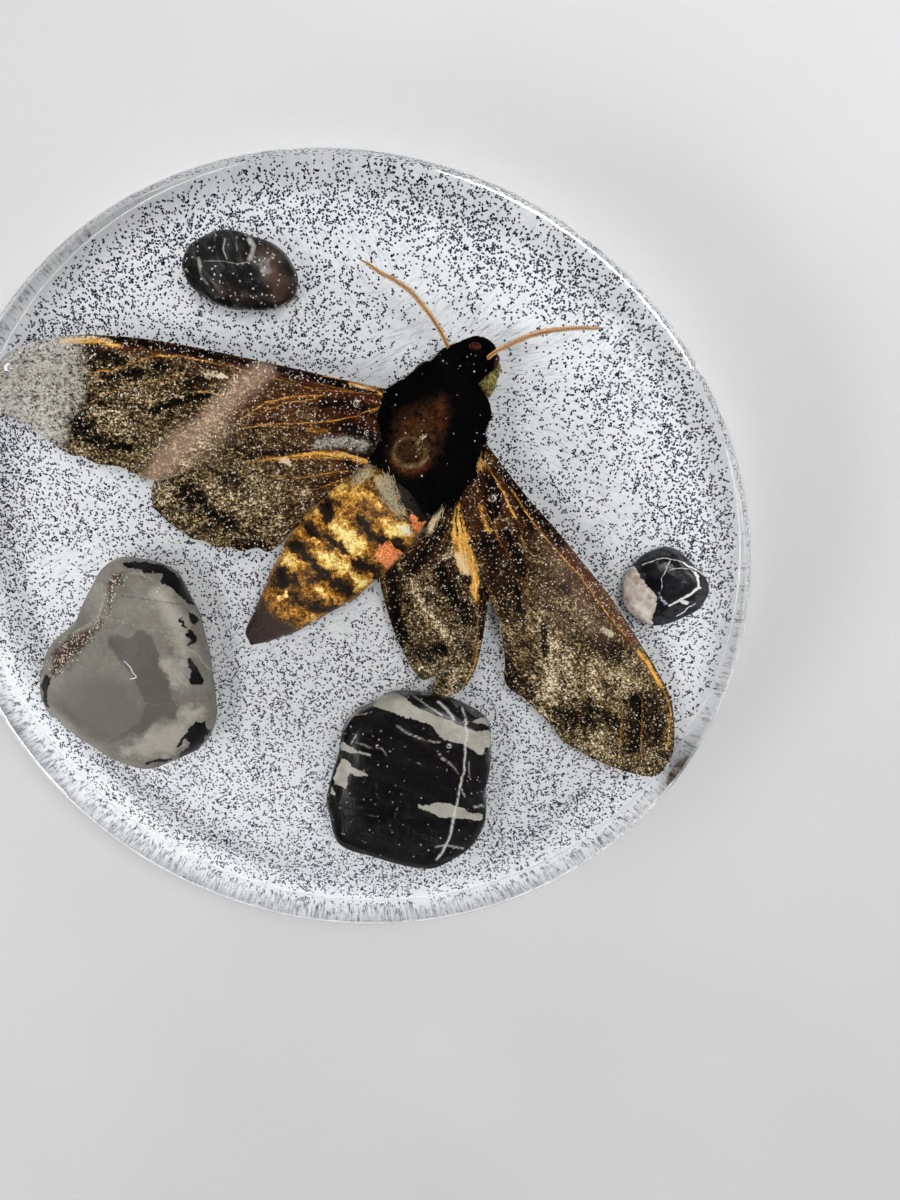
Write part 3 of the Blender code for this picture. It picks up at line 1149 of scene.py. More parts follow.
# %% [markdown]
# ## The thorax and the head
# Both are covered in black fur, and the thorax carries a pale brown mark. The camera sees almost pure
# black, so the shape shows by its outline and by the mark: a brown, rubbed patch with a ring in it.

# %% The thorax
THORAX = [(386, 390), (404, 380), (420, 368), (436, 356), (448, 348), (470, 346), (484, 356), (480, 370),
          (478, 382),
          (486, 398), (490, 414), (486, 429), (488, 444), (484, 465), (466, 488), (450, 508), (424, 516),
          (402, 503), (386, 478),
          (370, 462), (378, 447), (383, 435), (377, 415), (383, 400)]
PATCH = [(443, 400), (445, 412), (441, 428), (439, 445), (428, 463), (412, 472), (397, 467), (392, 448),
         (397, 432),
         (399, 418), (412, 411), (425, 406)]


def fur_finish():
    """Black fur with a brown patch. Inside the patch a ring and crumbs catch the light."""
    finish = Finish("black_fur", Roughness=0.9, Specular_IOR_Level=0.0)
    here = finish.place()
    patch, ring, crumbs, red = (finish.mark(name) for name in ("patch", "ring", "crumbs", "red"))
    mottle, grit = finish.noise(here, 1.6, detail=5, rough=0.7), finish.cells(here, 6.0)
    brown = finish.mix(mottle.rises(0.38, 0.66), (0.005, 0.002, 0.001), (0.060, 0.027, 0.009))
    colour = finish.mix(patch, (0.0012, 0.0010, 0.0012), brown)
    colour = finish.mix(red * mottle.rises(0.3, 0.6), colour, (0.075, 0.016, 0.007))
    colour = finish.mix(ring * (mottle + grit * 0.4).rises(0.4, 0.9), colour, (0.22, 0.15, 0.075))
    colour = finish.mix(((crumbs + patch * 0.16) * grit).rises(0.5, 0.75), colour, (0.50, 0.42, 0.27))
    finish.set(Base_Color=colour)
    finish.bump(mottle, 0.08)
    return finish.material


FUR_FINISH = fur_finish()


def fur_marks(points):
    """The patch, its ring about (410, 451), the red crescent below it and the pale crumbs above it."""
    turn = np.radians(np.arange(0, 361, 30))
    circle = [(410 + 16 * c, 451 + 14 * s) for c, s in zip(np.cos(turn), np.sin(turn))]
    low = [(394, 455), (399, 464), (409, 467), (421, 465), (428, 457)]
    ring = np.maximum(0.55 * ink(points, [(0.16, 1.0, circle)]), ink(points, [(0.22, 1.0, low)]))
    upper = points[:, 2] > DRAWN
    return {
        "patch": area(points, [PATCH], 2.4, 0.35) * upper,
        "ring": ring * upper,
        "crumbs": ink(points, [(0.35, 1.0, [(420, 440), (427, 434)]), (0.3, 0.6, [(414, 444), (430, 452)])],
                      0.4) * upper,
        "red": ink(points, [(0.35, 1.0, [(393, 460), (402, 470), (414, 472), (426, 467)]),
                            (0.5, 0.6, [(440, 405), (441, 425)])]) * upper,
    }


thorax_grid = lumpy(rounded(THORAX, 8.0, 4.3, 4.2, fullness=2.5), 5.0, 0.18, 21)
skin("thorax", thorax_grid, FUR_FINISH, around=True, caps=BOTH, marks=fur_marks)

HEAD = [(444, 352), (456, 343), (470, 338), (479, 337), (489, 341), (496, 349), (497, 360), (492, 371),
        (478, 380),
        (458, 380), (445, 368)]
head_grid = lumpy(rounded(HEAD, 8.6, 3.0, 3.2, fullness=2.3, rows=40, columns=100), 2.5, 0.15, 22)
skin("head", head_grid, FUR_FINISH, around=True, caps=BOTH, marks=fur_marks)
print("thorax", np.round(np.ptp(thorax_grid, axis=(0, 1)) / MM, 1), "mm")

# %% The fur
TAIL_WARD = unit(np.array([*(into_block((250, 640), DRAWN) - into_block((470, 360), DRAWN))[0], 0.0]))


def make_fur(name, grid, count, length, seed):
    """Spikes combed towards the tail, a little off the surface."""
    source = np.random.default_rng(seed)
    places, outward = scattered(grid, count, source)
    heading = TAIL_WARD * 0.9 + outward * 0.55 + source.normal(0, 0.25, (count, 3))
    spikes(name, places, heading, source.uniform(0.6, 1.2, count) * length * MM, 0.035, FUR_FINISH,
           marks=fur_marks(places))


make_fur("thorax_fur", thorax_grid, 9000, 0.9, 31)
make_fur("head_fur", head_grid, 3000, 0.6, 32)
print("12000 hairs")

# %% [markdown]
# ## Eyes, mouthparts and legs
# A dull red eye shows on the head, and an olive mouthpart with yellow bristles sticks out at its side. The
# legs are folded under the body, where they are seen only from low down.

# %% The small parts of the body


def plain_finish(name, dark, light, scale, roughness=0.5, depth=0.05, gleam=0.3):
    """Two tones in soft blots, with a matching bump. gleam is the strength of the mirrored light."""
    finish = Finish(name, Roughness=roughness, Specular_IOR_Level=gleam)
    blot = finish.noise(finish.place(), scale, detail=4, rough=0.6)
    finish.set(Base_Color=finish.mix(blot.rises(0.35, 0.65), dark, light))
    finish.bump(blot, depth)
    return finish.material


EYE_FINISH = plain_finish("dull_red_eye", (0.006, 0.002, 0.001), (0.075, 0.016, 0.008), 2.4, 0.45,
                          gleam=0.05)
PALP_FINISH = plain_finish("olive_mouthpart", (0.010, 0.007, 0.002), (0.17, 0.15, 0.045), 2.2, gleam=0.1)
LEG_FINISH = plain_finish("brown_leg", (0.012, 0.006, 0.003), (0.07, 0.035, 0.015), 2.5)
YELLOW_FINISH = plain_finish("yellow_bristle", (0.42, 0.28, 0.03), (0.85, 0.66, 0.12), 3.0)

eye = rounded([(469, 345), (474, 342), (480, 344), (481, 348), (476, 351), (470, 349)], 11.0, 0.75, 1.2,
              rows=24, columns=48)
skin("upper_eye", eye, EYE_FINISH, around=True, caps=BOTH)
far_eye = rounded([(490, 357), (497, 354), (500, 360), (496, 369), (490, 367)], 8.4, 1.5, 1.5, rows=24,
                  columns=48)
skin("lower_eye", far_eye, EYE_FINISH, around=True, caps=BOTH)
palp = rounded([(477, 379), (487, 368), (496, 362), (501, 367), (498, 378), (494, 390), (488, 397),
                (482, 390)],
               7.8, 1.6, 1.6, rows=30, columns=60)
palp = lumpy(palp, 1.2, 0.12, 23)
skin("mouthpart", palp, PALP_FINISH, around=True, caps=BOTH)


BRISTLES = 150


def make_bristles():
    source = np.random.default_rng(33)
    places, outward = scattered(palp, BRISTLES, source)
    heading = outward + source.normal(0, 0.3, outward.shape)
    spikes("mouthpart_bristles", places, heading, source.uniform(0.2, 0.6, BRISTLES) * MM, 0.03,
           YELLOW_FINISH)


make_bristles()

# %% Tubes along a path


def tube(path, radii, sides=12):
    """A grid of rings along a path, each square to it. radii holds one radius a path point."""
    path = np.asarray(path, float)
    heading = unit(np.gradient(path, axis=0))
    side = unit(np.cross(heading, (0.05, 0.02, 1.0)))
    other = np.cross(side, heading)
    angle = np.linspace(0, 2 * np.pi, sides, endpoint=False)
    ring = side[:, None] * np.cos(angle)[:, None] - other[:, None] * np.sin(angle)[:, None]
    return path[:, None] + ring * np.reshape(radii, (len(path), -1, 1))


def routed(pixels, heights, count):
    """A smooth path in the block through pixels, each at its own height in millimetres."""
    heights = np.asarray(heights, float) * MM
    return flowing(np.column_stack([into_block(pixels, heights), heights]), count)


LEG_STEPS = 40


def make_legs():
    """Six thin legs, each from the thorax down to the glitter and back along the body."""
    shoulders = [(455, 380), (440, 400), (425, 420)]
    for number, shoulder in enumerate(shoulders):
        for side, across in (("left", -1), ("right", 1)):
            x, y = shoulder
            knee = (x + across * 26 - 6, y + across * 22 + 8)
            ankle = (x + across * 16 - 42, y + across * 14 + 40)
            path = routed([shoulder, knee, ankle, (ankle[0] - 30, ankle[1] + 26)], [6.0, 5.0, 3.9, 3.6],
                          LEG_STEPS)
            radii = np.interp(np.linspace(0, 1, LEG_STEPS), [0, 0.3, 0.5, 1], [0.75, 0.5, 0.32, 0.16]) * MM
            skin(f"{side}_leg_{number + 1}", tube(path, radii), LEG_FINISH, around=True,
                 caps=BOTH)


make_legs()
print("legs ready")

# %% [markdown]
# ## The feelers
# A hawkmoth's feeler is a tapered rod with a groove along it and a row of tiny teeth. The profile carried
# along the path is a circle with two lobes, and its radius ripples with the teeth.

# %% The feelers
TOOTH_PITCH = 0.32
TOOTH_LENGTH = 0.16
TOOTH_SHAKE = 0.00005
FEELER_RINGS, FEELER_SIDES = 420, 20
FEELER_RADIUS = 0.27


def feeler_finish():
    """Amber, darker in the groove and at both ends."""
    finish = Finish("amber_feeler", Roughness=0.35, Specular_IOR_Level=0.4)
    groove, end = finish.mark("groove"), finish.mark("end")
    grit = finish.noise(finish.place(), 5.0, detail=3)
    amber = finish.mix(grit.rises(0.35, 0.65), (0.30, 0.12, 0.020), (0.62, 0.33, 0.09))
    colour = finish.mix(groove * 0.9, amber, (0.05, 0.016, 0.005))
    finish.set(Base_Color=finish.mix(end, colour, (0.10, 0.05, 0.02)))
    finish.bump(grit, 0.03)
    return finish.material


FEELER_FINISH = feeler_finish()


def make_feeler(name, pixels, heights, thick):
    """A two-lobed tube. Its radius is the taper, times one plus a lobe term, plus a tooth ripple
    underneath."""
    count, sides = FEELER_RINGS, FEELER_SIDES
    path = routed(pixels, heights, count)
    along = np.append(0, np.linalg.norm(np.diff(path, axis=0), axis=1).cumsum()) / MM
    share = along / along[-1]
    taper = np.interp(share, [0, 0.05, 0.5, 0.85, 1], [0.7, 0.9, 1.0, 0.75, 0.12]) * thick
    angle = np.linspace(0, 2 * np.pi, sides, endpoint=False)
    lobes = 0.82 + 0.24 * np.abs(np.cos(angle))
    teeth = 0.10 * np.sin(2 * np.pi * along / TOOTH_PITCH)[:, None] * np.clip(np.cos(angle) ** 2, 0, 1)
    grid = tube(path, taper[:, None] * (lobes + teeth) * MM, sides)
    dark = (np.abs(np.sin(angle)) > 0.93) * 1.0
    tips = np.clip((share - 0.90) * 12, 0, 1)
    groove = np.append(np.tile(dark, count), [0, 0])
    end = np.append(np.repeat(tips, sides), [0, 1])
    skin(name, grid, FEELER_FINISH, around=True, caps=BOTH,
         marks=lambda points: {"groove": groove, "end": end})
    source = np.random.default_rng(41)
    rows = np.arange(20, count - 30, 3)
    flank = np.where(np.arange(len(rows)) % 2 == 0, 0, sides // 2)
    roots = grid[rows, flank]
    spikes(f"{name}_teeth", roots, roots - path[rows] + source.normal(0, TOOTH_SHAKE, roots.shape),
           np.full(len(rows), TOOTH_LENGTH * MM), 0.05, LEG_FINISH)


make_feeler("left_feeler",
            [(449, 349), (440, 330), (428, 312), (411, 292), (396, 281), (381, 273), (368, 264), (356, 257)],
            [9.2, 9.8, 10.2, 10.4, 10.4, 10.3, 10.2, 10.0], FEELER_RADIUS)
make_feeler("right_feeler",
            [(484, 361), (497, 351), (517, 341), (535, 334), (555, 330), (579, 328), (594, 328), (607, 328)],
            [10.8, 11.0, 10.8, 10.6, 10.4, 10.2, 10.1, 10.0], FEELER_RADIUS)
print("feelers ready")

# %% [markdown]
# ## The abdomen
# The abdomen is a tapered row of plates. It is made as rings between its two flanks: half a ring is as wide
# as the flanks are apart, and every plate swells a little towards its hind edge and steps in behind it.
# Dark bands cross it at the joints, and between them gold scales shine in patches.

# %% The abdomen
PLATES = 7.0
ABDOMEN_ROWS, ABDOMEN_SIDES = 280, 160


def abdomen_finish():
    """Dark brown to amber, gold and pale yellow by one richness: gold and dark marks, blots and fine
    grain. Part of the dark marks is painted shade where the abdomen meets the thorax."""
    finish = Finish("gold_abdomen", Specular_IOR_Level=0.12)
    here = finish.place()
    gold, black, red, tip, band = (finish.mark(name) for name in ("gold", "black", "red", "tip", "band"))
    hair, glint = finish.mark("hair"), finish.mark("glint")
    cloud = finish.noise(here, 0.9, detail=6, rough=0.75)
    fine = finish.noise(here, 2.4, detail=5, rough=0.85)
    grit = finish.cells(here, 4.5)
    rich = 0.27 + gold * 0.60 - black * 0.80 - band * 0.18 + (cloud - 0.5) * 1.8 + (fine - 0.5) * 1.7
    rich = rich + (grit - 0.5) * 0.30
    colour = finish.mix(rich.rises(0.02, 0.38), (0.005, 0.0025, 0.0015), (0.20, 0.075, 0.009))
    colour = finish.mix(rich.rises(0.34, 0.66), colour, (0.62, 0.33, 0.045))
    colour = finish.mix(rich.rises(0.62, 0.98), colour, (0.98, 0.88, 0.38))
    ember = finish.mix((fine + (grit - 0.5) * 0.5).rises(0.3, 0.7), (0.50, 0.085, 0.018), (0.88, 0.40, 0.16))
    colour = finish.mix((red * (fine + 0.7)).rises(0.4, 0.8), colour, ember)
    strand = finish.noise(finish.stretch(here, (0.5, 4.0, 1), 0.9), 1.0, detail=3)
    colour = finish.mix((hair * (strand + 0.25)).rises(0.45, 0.75), colour, (0.52, 0.42, 0.24))
    colour = finish.mix(glint, colour, (0.95, 0.93, 0.88))
    smooth = finish.mix(fine.rises(0.35, 0.65), (0.012, 0.007, 0.006), (0.045, 0.026, 0.022))
    finish.set(Base_Color=finish.mix(tip, colour, smooth), Roughness=(grit * 0.3 + 0.25).at_most(0.6))
    finish.bump(fine + grit * 0.5, 0.06)
    return finish.material


LEFT_FLANK = [(388, 462), (365, 466), (348, 479), (329, 494), (310, 513), (291, 536), (272, 572), (257, 606),
              (246, 630),
              (249, 641)]
RIGHT_FLANK = [(450, 500), (436, 512), (426, 524), (413, 541), (398, 559), (375, 580), (348, 602),
               (325, 614), (300, 629),
               (272, 640), (251, 645)]
GOLD_FIELDS = [
    [(341, 521), (329, 526), (335, 537), (345, 548), (354, 557), (362, 556), (366, 545), (362, 537),
     (348, 526),
     (344, 515)],
    [(313, 551), (321, 560), (326, 567), (339, 571), (348, 570), (351, 563), (341, 556), (329, 551),
     (321, 548)],
    [(284, 549), (282, 559), (289, 566), (295, 571), (300, 565), (293, 554)],
    [(313, 586), (318, 593), (326, 597), (337, 602), (344, 600), (329, 592), (321, 585)],
    [(373, 518), (382, 526), (389, 536), (399, 540), (409, 537), (411, 526), (399, 524), (386, 520)],
    [(352, 575), (359, 575), (370, 577), (374, 581), (367, 586), (359, 590), (355, 584)],
    [(306, 617), (314, 615), (319, 617), (313, 619)],
]
DARK_FIELDS_AND_SHADE = [
    [(319, 506), (329, 500), (333, 508), (330, 526), (324, 518)],
    [(337, 578), (346, 584), (355, 592), (349, 595), (340, 592)],
    [(276, 573), (282, 569), (289, 574), (289, 583), (282, 586), (276, 580)],
    # painted shade on the abdomen where it meets the thorax
    [(395, 478), (450, 470), (450, 500), (440, 520), (425, 530), (412, 522), (402, 505)],
    [(291, 543), (302, 544), (302, 551), (294, 551)],
]
ABDOMEN_TIP = [(262, 600), (270, 610), (280, 619), (296, 625), (290, 645), (245, 660), (230, 640),
               (248, 600)]
ABDOMEN_STROKES = {
    "gold": [(0.35, 1.1, [(280, 597), (287, 593)]), (0.5, 0.6, [(307, 518), (319, 512)]),
             (0.4, 0.5, [(294, 532), (297, 532)]),
             (0.6, 0.7, [(332, 495), (344, 487)]), (0.9, 0.45, [(340, 510), (351, 498), (362, 486)]),
             (0.5, 0.7, [(395, 510), (405, 510)]), (0.14, 0.8, [(312, 562), (325, 575), (340, 588)]),
             (0.6, 0.7, [(330, 505), (345, 515)]), (0.5, 0.6, [(366, 492), (380, 505)]),
             (0.5, 0.5, [(310, 537), (318, 545)]), (0.6, 0.4, [(304, 606), (294, 612)]),
             (0.10, 0.7, [(327, 540), (340, 553), (352, 562)])],
    "black": [(0.35, 1.0, [(326, 536), (339, 545), (348, 554)]),
              (0.6, 1.0, [(356, 562), (369, 566), (376, 573)]),
              (0.45, 1.0, [(311, 527), (313, 534)]),
              (0.5, 1.0, [(373, 537), (385, 540), (398, 544), (403, 548)]),
              (0.45, 0.9, [(306, 556), (318, 569), (332, 581), (340, 586), (351, 592)]),
              (0.35, 0.9, [(291, 593), (302, 603), (313, 607)]),
              (0.55, 1.0, [(313, 607), (324, 610), (335, 608)]),
              (0.35, 0.7, [(294, 580), (298, 582)]), (0.35, 0.8, [(358, 516), (366, 526), (373, 536)]),
              (0.5, 1.0, [(249, 641), (256, 636)])],
    "red": [(0.6, 0.9, [(413, 519), (424, 532)])],
    "hair": [(0.9, 1.0, [(378, 478), (384, 490), (391, 502)]), (0.5, 0.8, [(376, 482), (382, 500)]),
             (0.4, 0.7, [(368, 500), (378, 510)])],
    "glint": [(0.3, 1.0, [(400, 528), (411, 532)])],
}
EMBER = [(377, 547), (385, 544), (393, 545), (402, 554), (396, 562), (387, 567), (378, 560)]
ABDOMEN_TEAR = 0.45


def make_abdomen():
    rows, sides = ABDOMEN_ROWS, ABDOMEN_SIDES
    share = np.linspace(0, 1, rows)
    centre = np.interp(share, [0, 0.45, 1], [7.9, 7.4, 6.0]) * MM
    left = into_block(flowing(LEFT_FLANK, rows), centre)
    flank = into_block(flowing(RIGHT_FLANK, rows), centre)
    middle, half = (left + flank) / 2, (flank - left) / 2
    width = np.linalg.norm(half, axis=1)
    plate = share * PLATES % 1
    swell = 1 + 0.045 * plate - 0.06 * np.exp(-((plate - 0.03) / 0.05) ** 2) * (share > 0.1)
    angle = np.linspace(0, 2 * np.pi, sides, endpoint=False)
    level = middle[:, None] + half[:, None] * (np.cos(angle)[:, None] * swell[:, None, None])
    rise = np.minimum(width * 0.62, 3.9 * MM)[:, None] * swell[:, None] * np.sin(angle)
    grid = np.concatenate([level, (centre[:, None] + rise)[..., None]], axis=-1)
    if np.cross(half[0], middle[-1] - middle[0]) < 0:
        grid = grid[:, ::-1]

    def marks(points):
        band = np.exp(-((np.minimum(plate, 1 - plate)) / 0.13) ** 2)
        found = {kind: ink(points, strokes, ABDOMEN_TEAR) for kind, strokes in ABDOMEN_STROKES.items()}
        found["gold"] = np.maximum(found["gold"], area(points, GOLD_FIELDS, 1.0, ABDOMEN_TEAR))
        found["black"] = np.maximum(found["black"], area(points, DARK_FIELDS_AND_SHADE, 0.8, ABDOMEN_TEAR))
        found["red"] = np.maximum(found["red"], area(points, [EMBER], 0.9, ABDOMEN_TEAR))
        found["band"] = np.append(np.repeat(band, sides), [1, 1])
        found["tip"] = area(points, [ABDOMEN_TIP], 1.0, ABDOMEN_TEAR)
        return found

    skin("abdomen", grid, abdomen_finish(), around=True, caps=BOTH, marks=marks)
    return grid


abdomen_grid = make_abdomen()
print("abdomen", np.round(np.ptp(abdomen_grid, axis=(0, 1)) / MM, 1), "mm")

# %% Tufts where the abdomen meets the thorax
TUFT_FINISH = plain_finish("pale_tuft", (0.16, 0.12, 0.06), (0.72, 0.63, 0.42), 3.0)
CREAM_FINISH = plain_finish("cream_hair", (0.42, 0.27, 0.13), (0.92, 0.80, 0.56), 4.0)
TUFT_STEPS, TUFT_LAST, TUFT_AHEAD = 60, 45, 14


def make_tuft(name, along, spread, count, length, width, finish, seed, lift=0.25):
    """Hairs whose roots are strewn about a line of pixels and heights, and which point along it."""
    source = np.random.default_rng(seed)
    pixels, heights = along
    path = routed(pixels, heights, TUFT_STEPS)
    at = source.integers(0, TUFT_LAST, count)
    roots = path[at] + source.normal(0, 1, (count, 3)) * np.array([spread, spread, spread * 0.4]) * MM
    forward = unit(path[at + TUFT_AHEAD] - path[at])
    heading = forward + source.normal(0, 0.16, (count, 3)) + np.array([0, 0, lift * 0.4])
    spikes(name, roots, heading, source.uniform(0.6, 1.2, count) * length * MM, width, finish)


make_tuft("waist_tuft", ([(386, 476), (388, 490), (396, 506), (408, 520)], [11.3, 11.5, 11.4, 11.0]), 0.45,
          420, 1.3, 0.05,
          TUFT_FINISH, 51)
make_tuft("shoulder_tuft", ([(372, 468), (362, 476), (352, 486)], [11.0, 10.9, 10.6]), 0.35, 160, 1.2, 0.04,
          TUFT_FINISH, 52)
make_tuft("cream_strip", ([(451, 486), (444, 500), (436, 516), (428, 534)], [10.2, 10.0, 9.6, 9.2]), 0.20,
          260, 2.0, 0.06,
          CREAM_FINISH, 53)
make_tuft("wing_root_tuft", ([(474, 448), (476, 458), (480, 470)], [10.2, 10.1, 9.9]), 0.45, 260, 1.0, 0.05,
          plain_finish("amber_hair", (0.30, 0.10, 0.02), (0.80, 0.48, 0.14), 3.0), 54)
print("tufts ready")

# %% [markdown]
# ## The stones
# Four tumbled stones lie on the glitter. Each is a rounded solid over its own outline, and its pattern is
# drawn as strokes and areas, with noise that breaks up their edges, so it reads as mineral and not as
# paint.

# %% The large grey stone
GREY_STONE = [(112, 561), (127, 557), (155, 561), (178, 572), (191, 595), (199, 614), (207, 641), (213, 670),
              (216, 705),
              (214, 728), (202, 747), (181, 757), (155, 764), (130, 763), (106, 751), (81, 734), (60, 719),
              (48, 708),
              (42, 687), (45, 661), (54, 641), (71, 626), (84, 606), (94, 584), (101, 571)]


def grey_finish():
    """Waxy warm grey with painted shade at the lower left and near the upper left rim, painted light at the
    upper right, a painted highlight line near the upper left rim, pale fields, a darker lobe, black patches,
    painted shadow along the bottom and left edges, glittering stains and veins."""
    finish = Finish("waxy_grey_stone", Roughness=0.25, Specular_IOR_Level=0.12)
    here = finish.place()
    names = ("lobe", "shade", "black", "stain", "vein", "light", "crack")
    lobe, shade, black, stain, vein, light, crack = (finish.mark(name) for name in names)
    soft = finish.noise(here, 0.30, detail=5, rough=0.65)
    rough = finish.noise(here, 1.6, detail=6, rough=0.75)
    spark, grain = finish.cells(here, 6.0), finish.cells(here, 2.2)
    mottle = (soft - 0.5) * 1.2 + (rough - 0.5) * 0.9
    colour = finish.mix(mottle.rises(-0.35, 0.35), (0.085, 0.079, 0.068), (0.205, 0.192, 0.165))
    # the light mark is painted light at the upper right and a painted highlight line near the upper left
    # rim, and also pale fields of the stone's own colour
    colour = finish.mix((light + mottle * 0.8).rises(0.3, 0.95) * 0.85, colour, (0.36, 0.335, 0.29))
    # the shade mark is painted shade at the lower left and near the upper left rim
    colour = finish.mix((shade + mottle * 0.4).rises(0.2, 0.9) * 0.8, colour, (0.082, 0.078, 0.068))
    colour = finish.mix((lobe + mottle * 0.35).rises(0.3, 0.75) * 0.8, colour, (0.055, 0.050, 0.044))
    colour = finish.mix((stain + (rough - 0.5) * 1.4).rises(0.45, 0.85), colour, (0.034, 0.018, 0.015))
    colour = finish.mix((vein * (rough + 0.2)).rises(0.3, 0.9) * 0.75, colour, (0.42, 0.37, 0.29))
    colour = finish.mix(crack * 0.75, colour, (0.03, 0.028, 0.025))
    colour = finish.mix((black + (rough - 0.5) * 1.0).rises(0.42, 0.56), colour, (0.003, 0.003, 0.003))
    glitter = (spark + stain * 0.24 + light * grain * 0.05).rises(1.05, 1.09)
    colour = finish.mix(glitter, colour, finish.mix(grain, (0.85, 0.80, 0.70), (0.50, 0.40, 0.27)))
    finish.set(Base_Color=colour)
    finish.bump(soft, 0.3)
    return finish.material


LOBE = [(108, 639), (112, 635), (121, 637), (131, 637), (139, 630), (147, 633), (155, 645), (159, 656),
        (159, 667),
        (166, 674), (171, 683), (169, 689), (174, 700), (177, 711), (175, 720), (162, 717), (155, 722),
        (147, 730),
        (133, 733), (112, 740), (133, 727), (141, 718), (144, 703), (139, 690), (133, 677), (124, 667),
        (114, 654)]
# painted shade
SHADES = [
    [(60, 690), (90, 672), (120, 680), (140, 704), (176, 719), (146, 731), (104, 744), (80, 728), (58, 712)],
    [(103, 586), (100, 611), (94, 621), (84, 630), (74, 632), (88, 602)],
]
BLACK_PATCHES_AND_SHADE = [
    [(121, 563), (133, 563), (147, 563), (162, 565), (171, 571), (183, 580), (191, 593), (193, 604),
     (185, 604),
     (177, 593), (166, 585), (159, 580), (163, 574), (156, 573), (141, 571), (127, 567)],
    [(179, 618), (183, 619), (187, 629), (183, 627)],
    [(189, 614), (196, 615), (199, 621), (194, 624), (189, 620)],
    [(185, 634), (191, 631), (198, 637), (194, 642), (188, 645), (188, 639)],
    [(188, 658), (193, 661), (196, 668), (202, 674), (202, 683), (198, 687), (193, 684), (189, 678),
     (190, 670)],
    [(190, 728), (196, 723), (203, 725), (205, 716), (207, 727), (210, 731), (205, 740), (199, 750),
     (190, 755),
     (178, 757), (183, 752), (189, 743), (185, 736)],
    # a thin dark strip along the left edge: painted shade
    [(43, 676), (49, 674), (51, 681), (46, 693), (49, 709), (45, 705), (42, 690)],
]
STAINS = [
    [(111, 576), (121, 571), (127, 574), (121, 583), (114, 593), (111, 608), (105, 615), (106, 601),
     (106, 586)],
    [(52, 654), (56, 646), (71, 634), (86, 631), (100, 620), (105, 623), (96, 634), (89, 645), (78, 655),
     (67, 665),
     (55, 678), (50, 670)],
]
PALE_FIELDS = [
    [(180, 705), (203, 705), (203, 721), (180, 721)],
    [(158, 660), (188, 656), (188, 683), (172, 690), (160, 672)],
    [(154, 722), (176, 720), (190, 724), (180, 750), (165, 757), (130, 757), (120, 748), (140, 738)],
]


def grey_marks(points):
    return {
        "lobe": area(points, [LOBE], 0.9, 0.25),
        "shade": area(points, SHADES, 3.5, 0.4),
        "black": np.maximum(
            area(points, BLACK_PATCHES_AND_SHADE, 0.5, 0.35),
            # the second stroke, along the bottom edge, is painted shadow
            ink(points,
                [(0.25, 1.0, [(178, 746), (184, 738)]), (0.3, 1.0, [(146, 764), (158, 761), (171, 759)])],
                0.2)),
        "stain": np.maximum(area(points, STAINS, 1.8, 0.5),
                            ink(points, [(1.0, 0.45, [(140, 575), (160, 590)])])),
        "vein": ink(points, [
            (0.16, 1.0,
             [(97, 615), (106, 618), (124, 623), (141, 627), (162, 633), (172, 640), (188, 649), (199, 656),
                         (210, 670)]),
            (0.22, 1.0, [(130, 573), (141, 574), (153, 580)]),
            (0.12, 0.7, [(139, 703), (158, 705), (172, 703)]),
            (0.25, 1.2, [(161, 586), (163, 586)]), (0.12, 1.0, [(168, 610), (176, 616)]),
        ], 0.15),
        # painted light at the upper right and a painted highlight line near the upper left rim; the pale
        # fields are the stone's own colour
        "light": np.maximum(
            ink(points,
                [(2.0, 0.9, [(160, 595), (180, 625), (182, 650)]), (1.5, 0.8, [(100, 590), (92, 615)]),
                         (0.35, 0.9, [(102, 585), (103, 600), (99, 614), (90, 624), (76, 632)])]),
            area(points, PALE_FIELDS, 2.2, 0.5) * 0.9),
        "crack": ink(points, [(0.09, 1.0, [(121, 596), (147, 599), (166, 603), (183, 604)]),
                              (0.08, 0.7, [(108, 742), (130, 736), (145, 730)])], 0.1),
    }


STONE_FLOOR = GLITTER_TOP / MM + 0.05
STONE_ROWS, STONE_COLUMNS = 150, 340


def stone(name, outline, finish, marks, height, fullness, seed, lump=0.15, tilt=0.45):
    """A stone that rests on the glitter. tilt is the share of its height that lies below its widest ring."""
    down = height * tilt
    grid = rounded(outline, STONE_FLOOR + down, height - down, down, fullness, rows=STONE_ROWS,
                   columns=STONE_COLUMNS)
    grid = lumpy(grid, 7.0, lump, seed)
    grid[..., 2] += STONE_FLOOR * MM - grid[..., 2].min()
    skin(name, grid, finish, around=True, caps=BOTH, marks=marks)
    print(name, np.round(np.ptp(grid, axis=(0, 1)) / MM, 1), "mm")


stone("grey_stone", GREY_STONE, grey_finish(), grey_marks, 8.6, 2.6, 61, lump=0.2)

# %% The banded stone
BANDED_STONE = [(387, 695), (397, 692), (415, 692), (438, 695), (463, 704), (482, 716), (490, 727),
                (491, 744), (489, 769),
                (486, 795), (484, 820), (478, 836), (463, 850), (438, 862), (421, 864), (399, 860),
                (374, 853),
                (352, 847), (339, 838), (332, 820), (328, 799), (331, 782), (336, 763), (341, 741),
                (344, 727),
                (355, 713), (371, 704)]


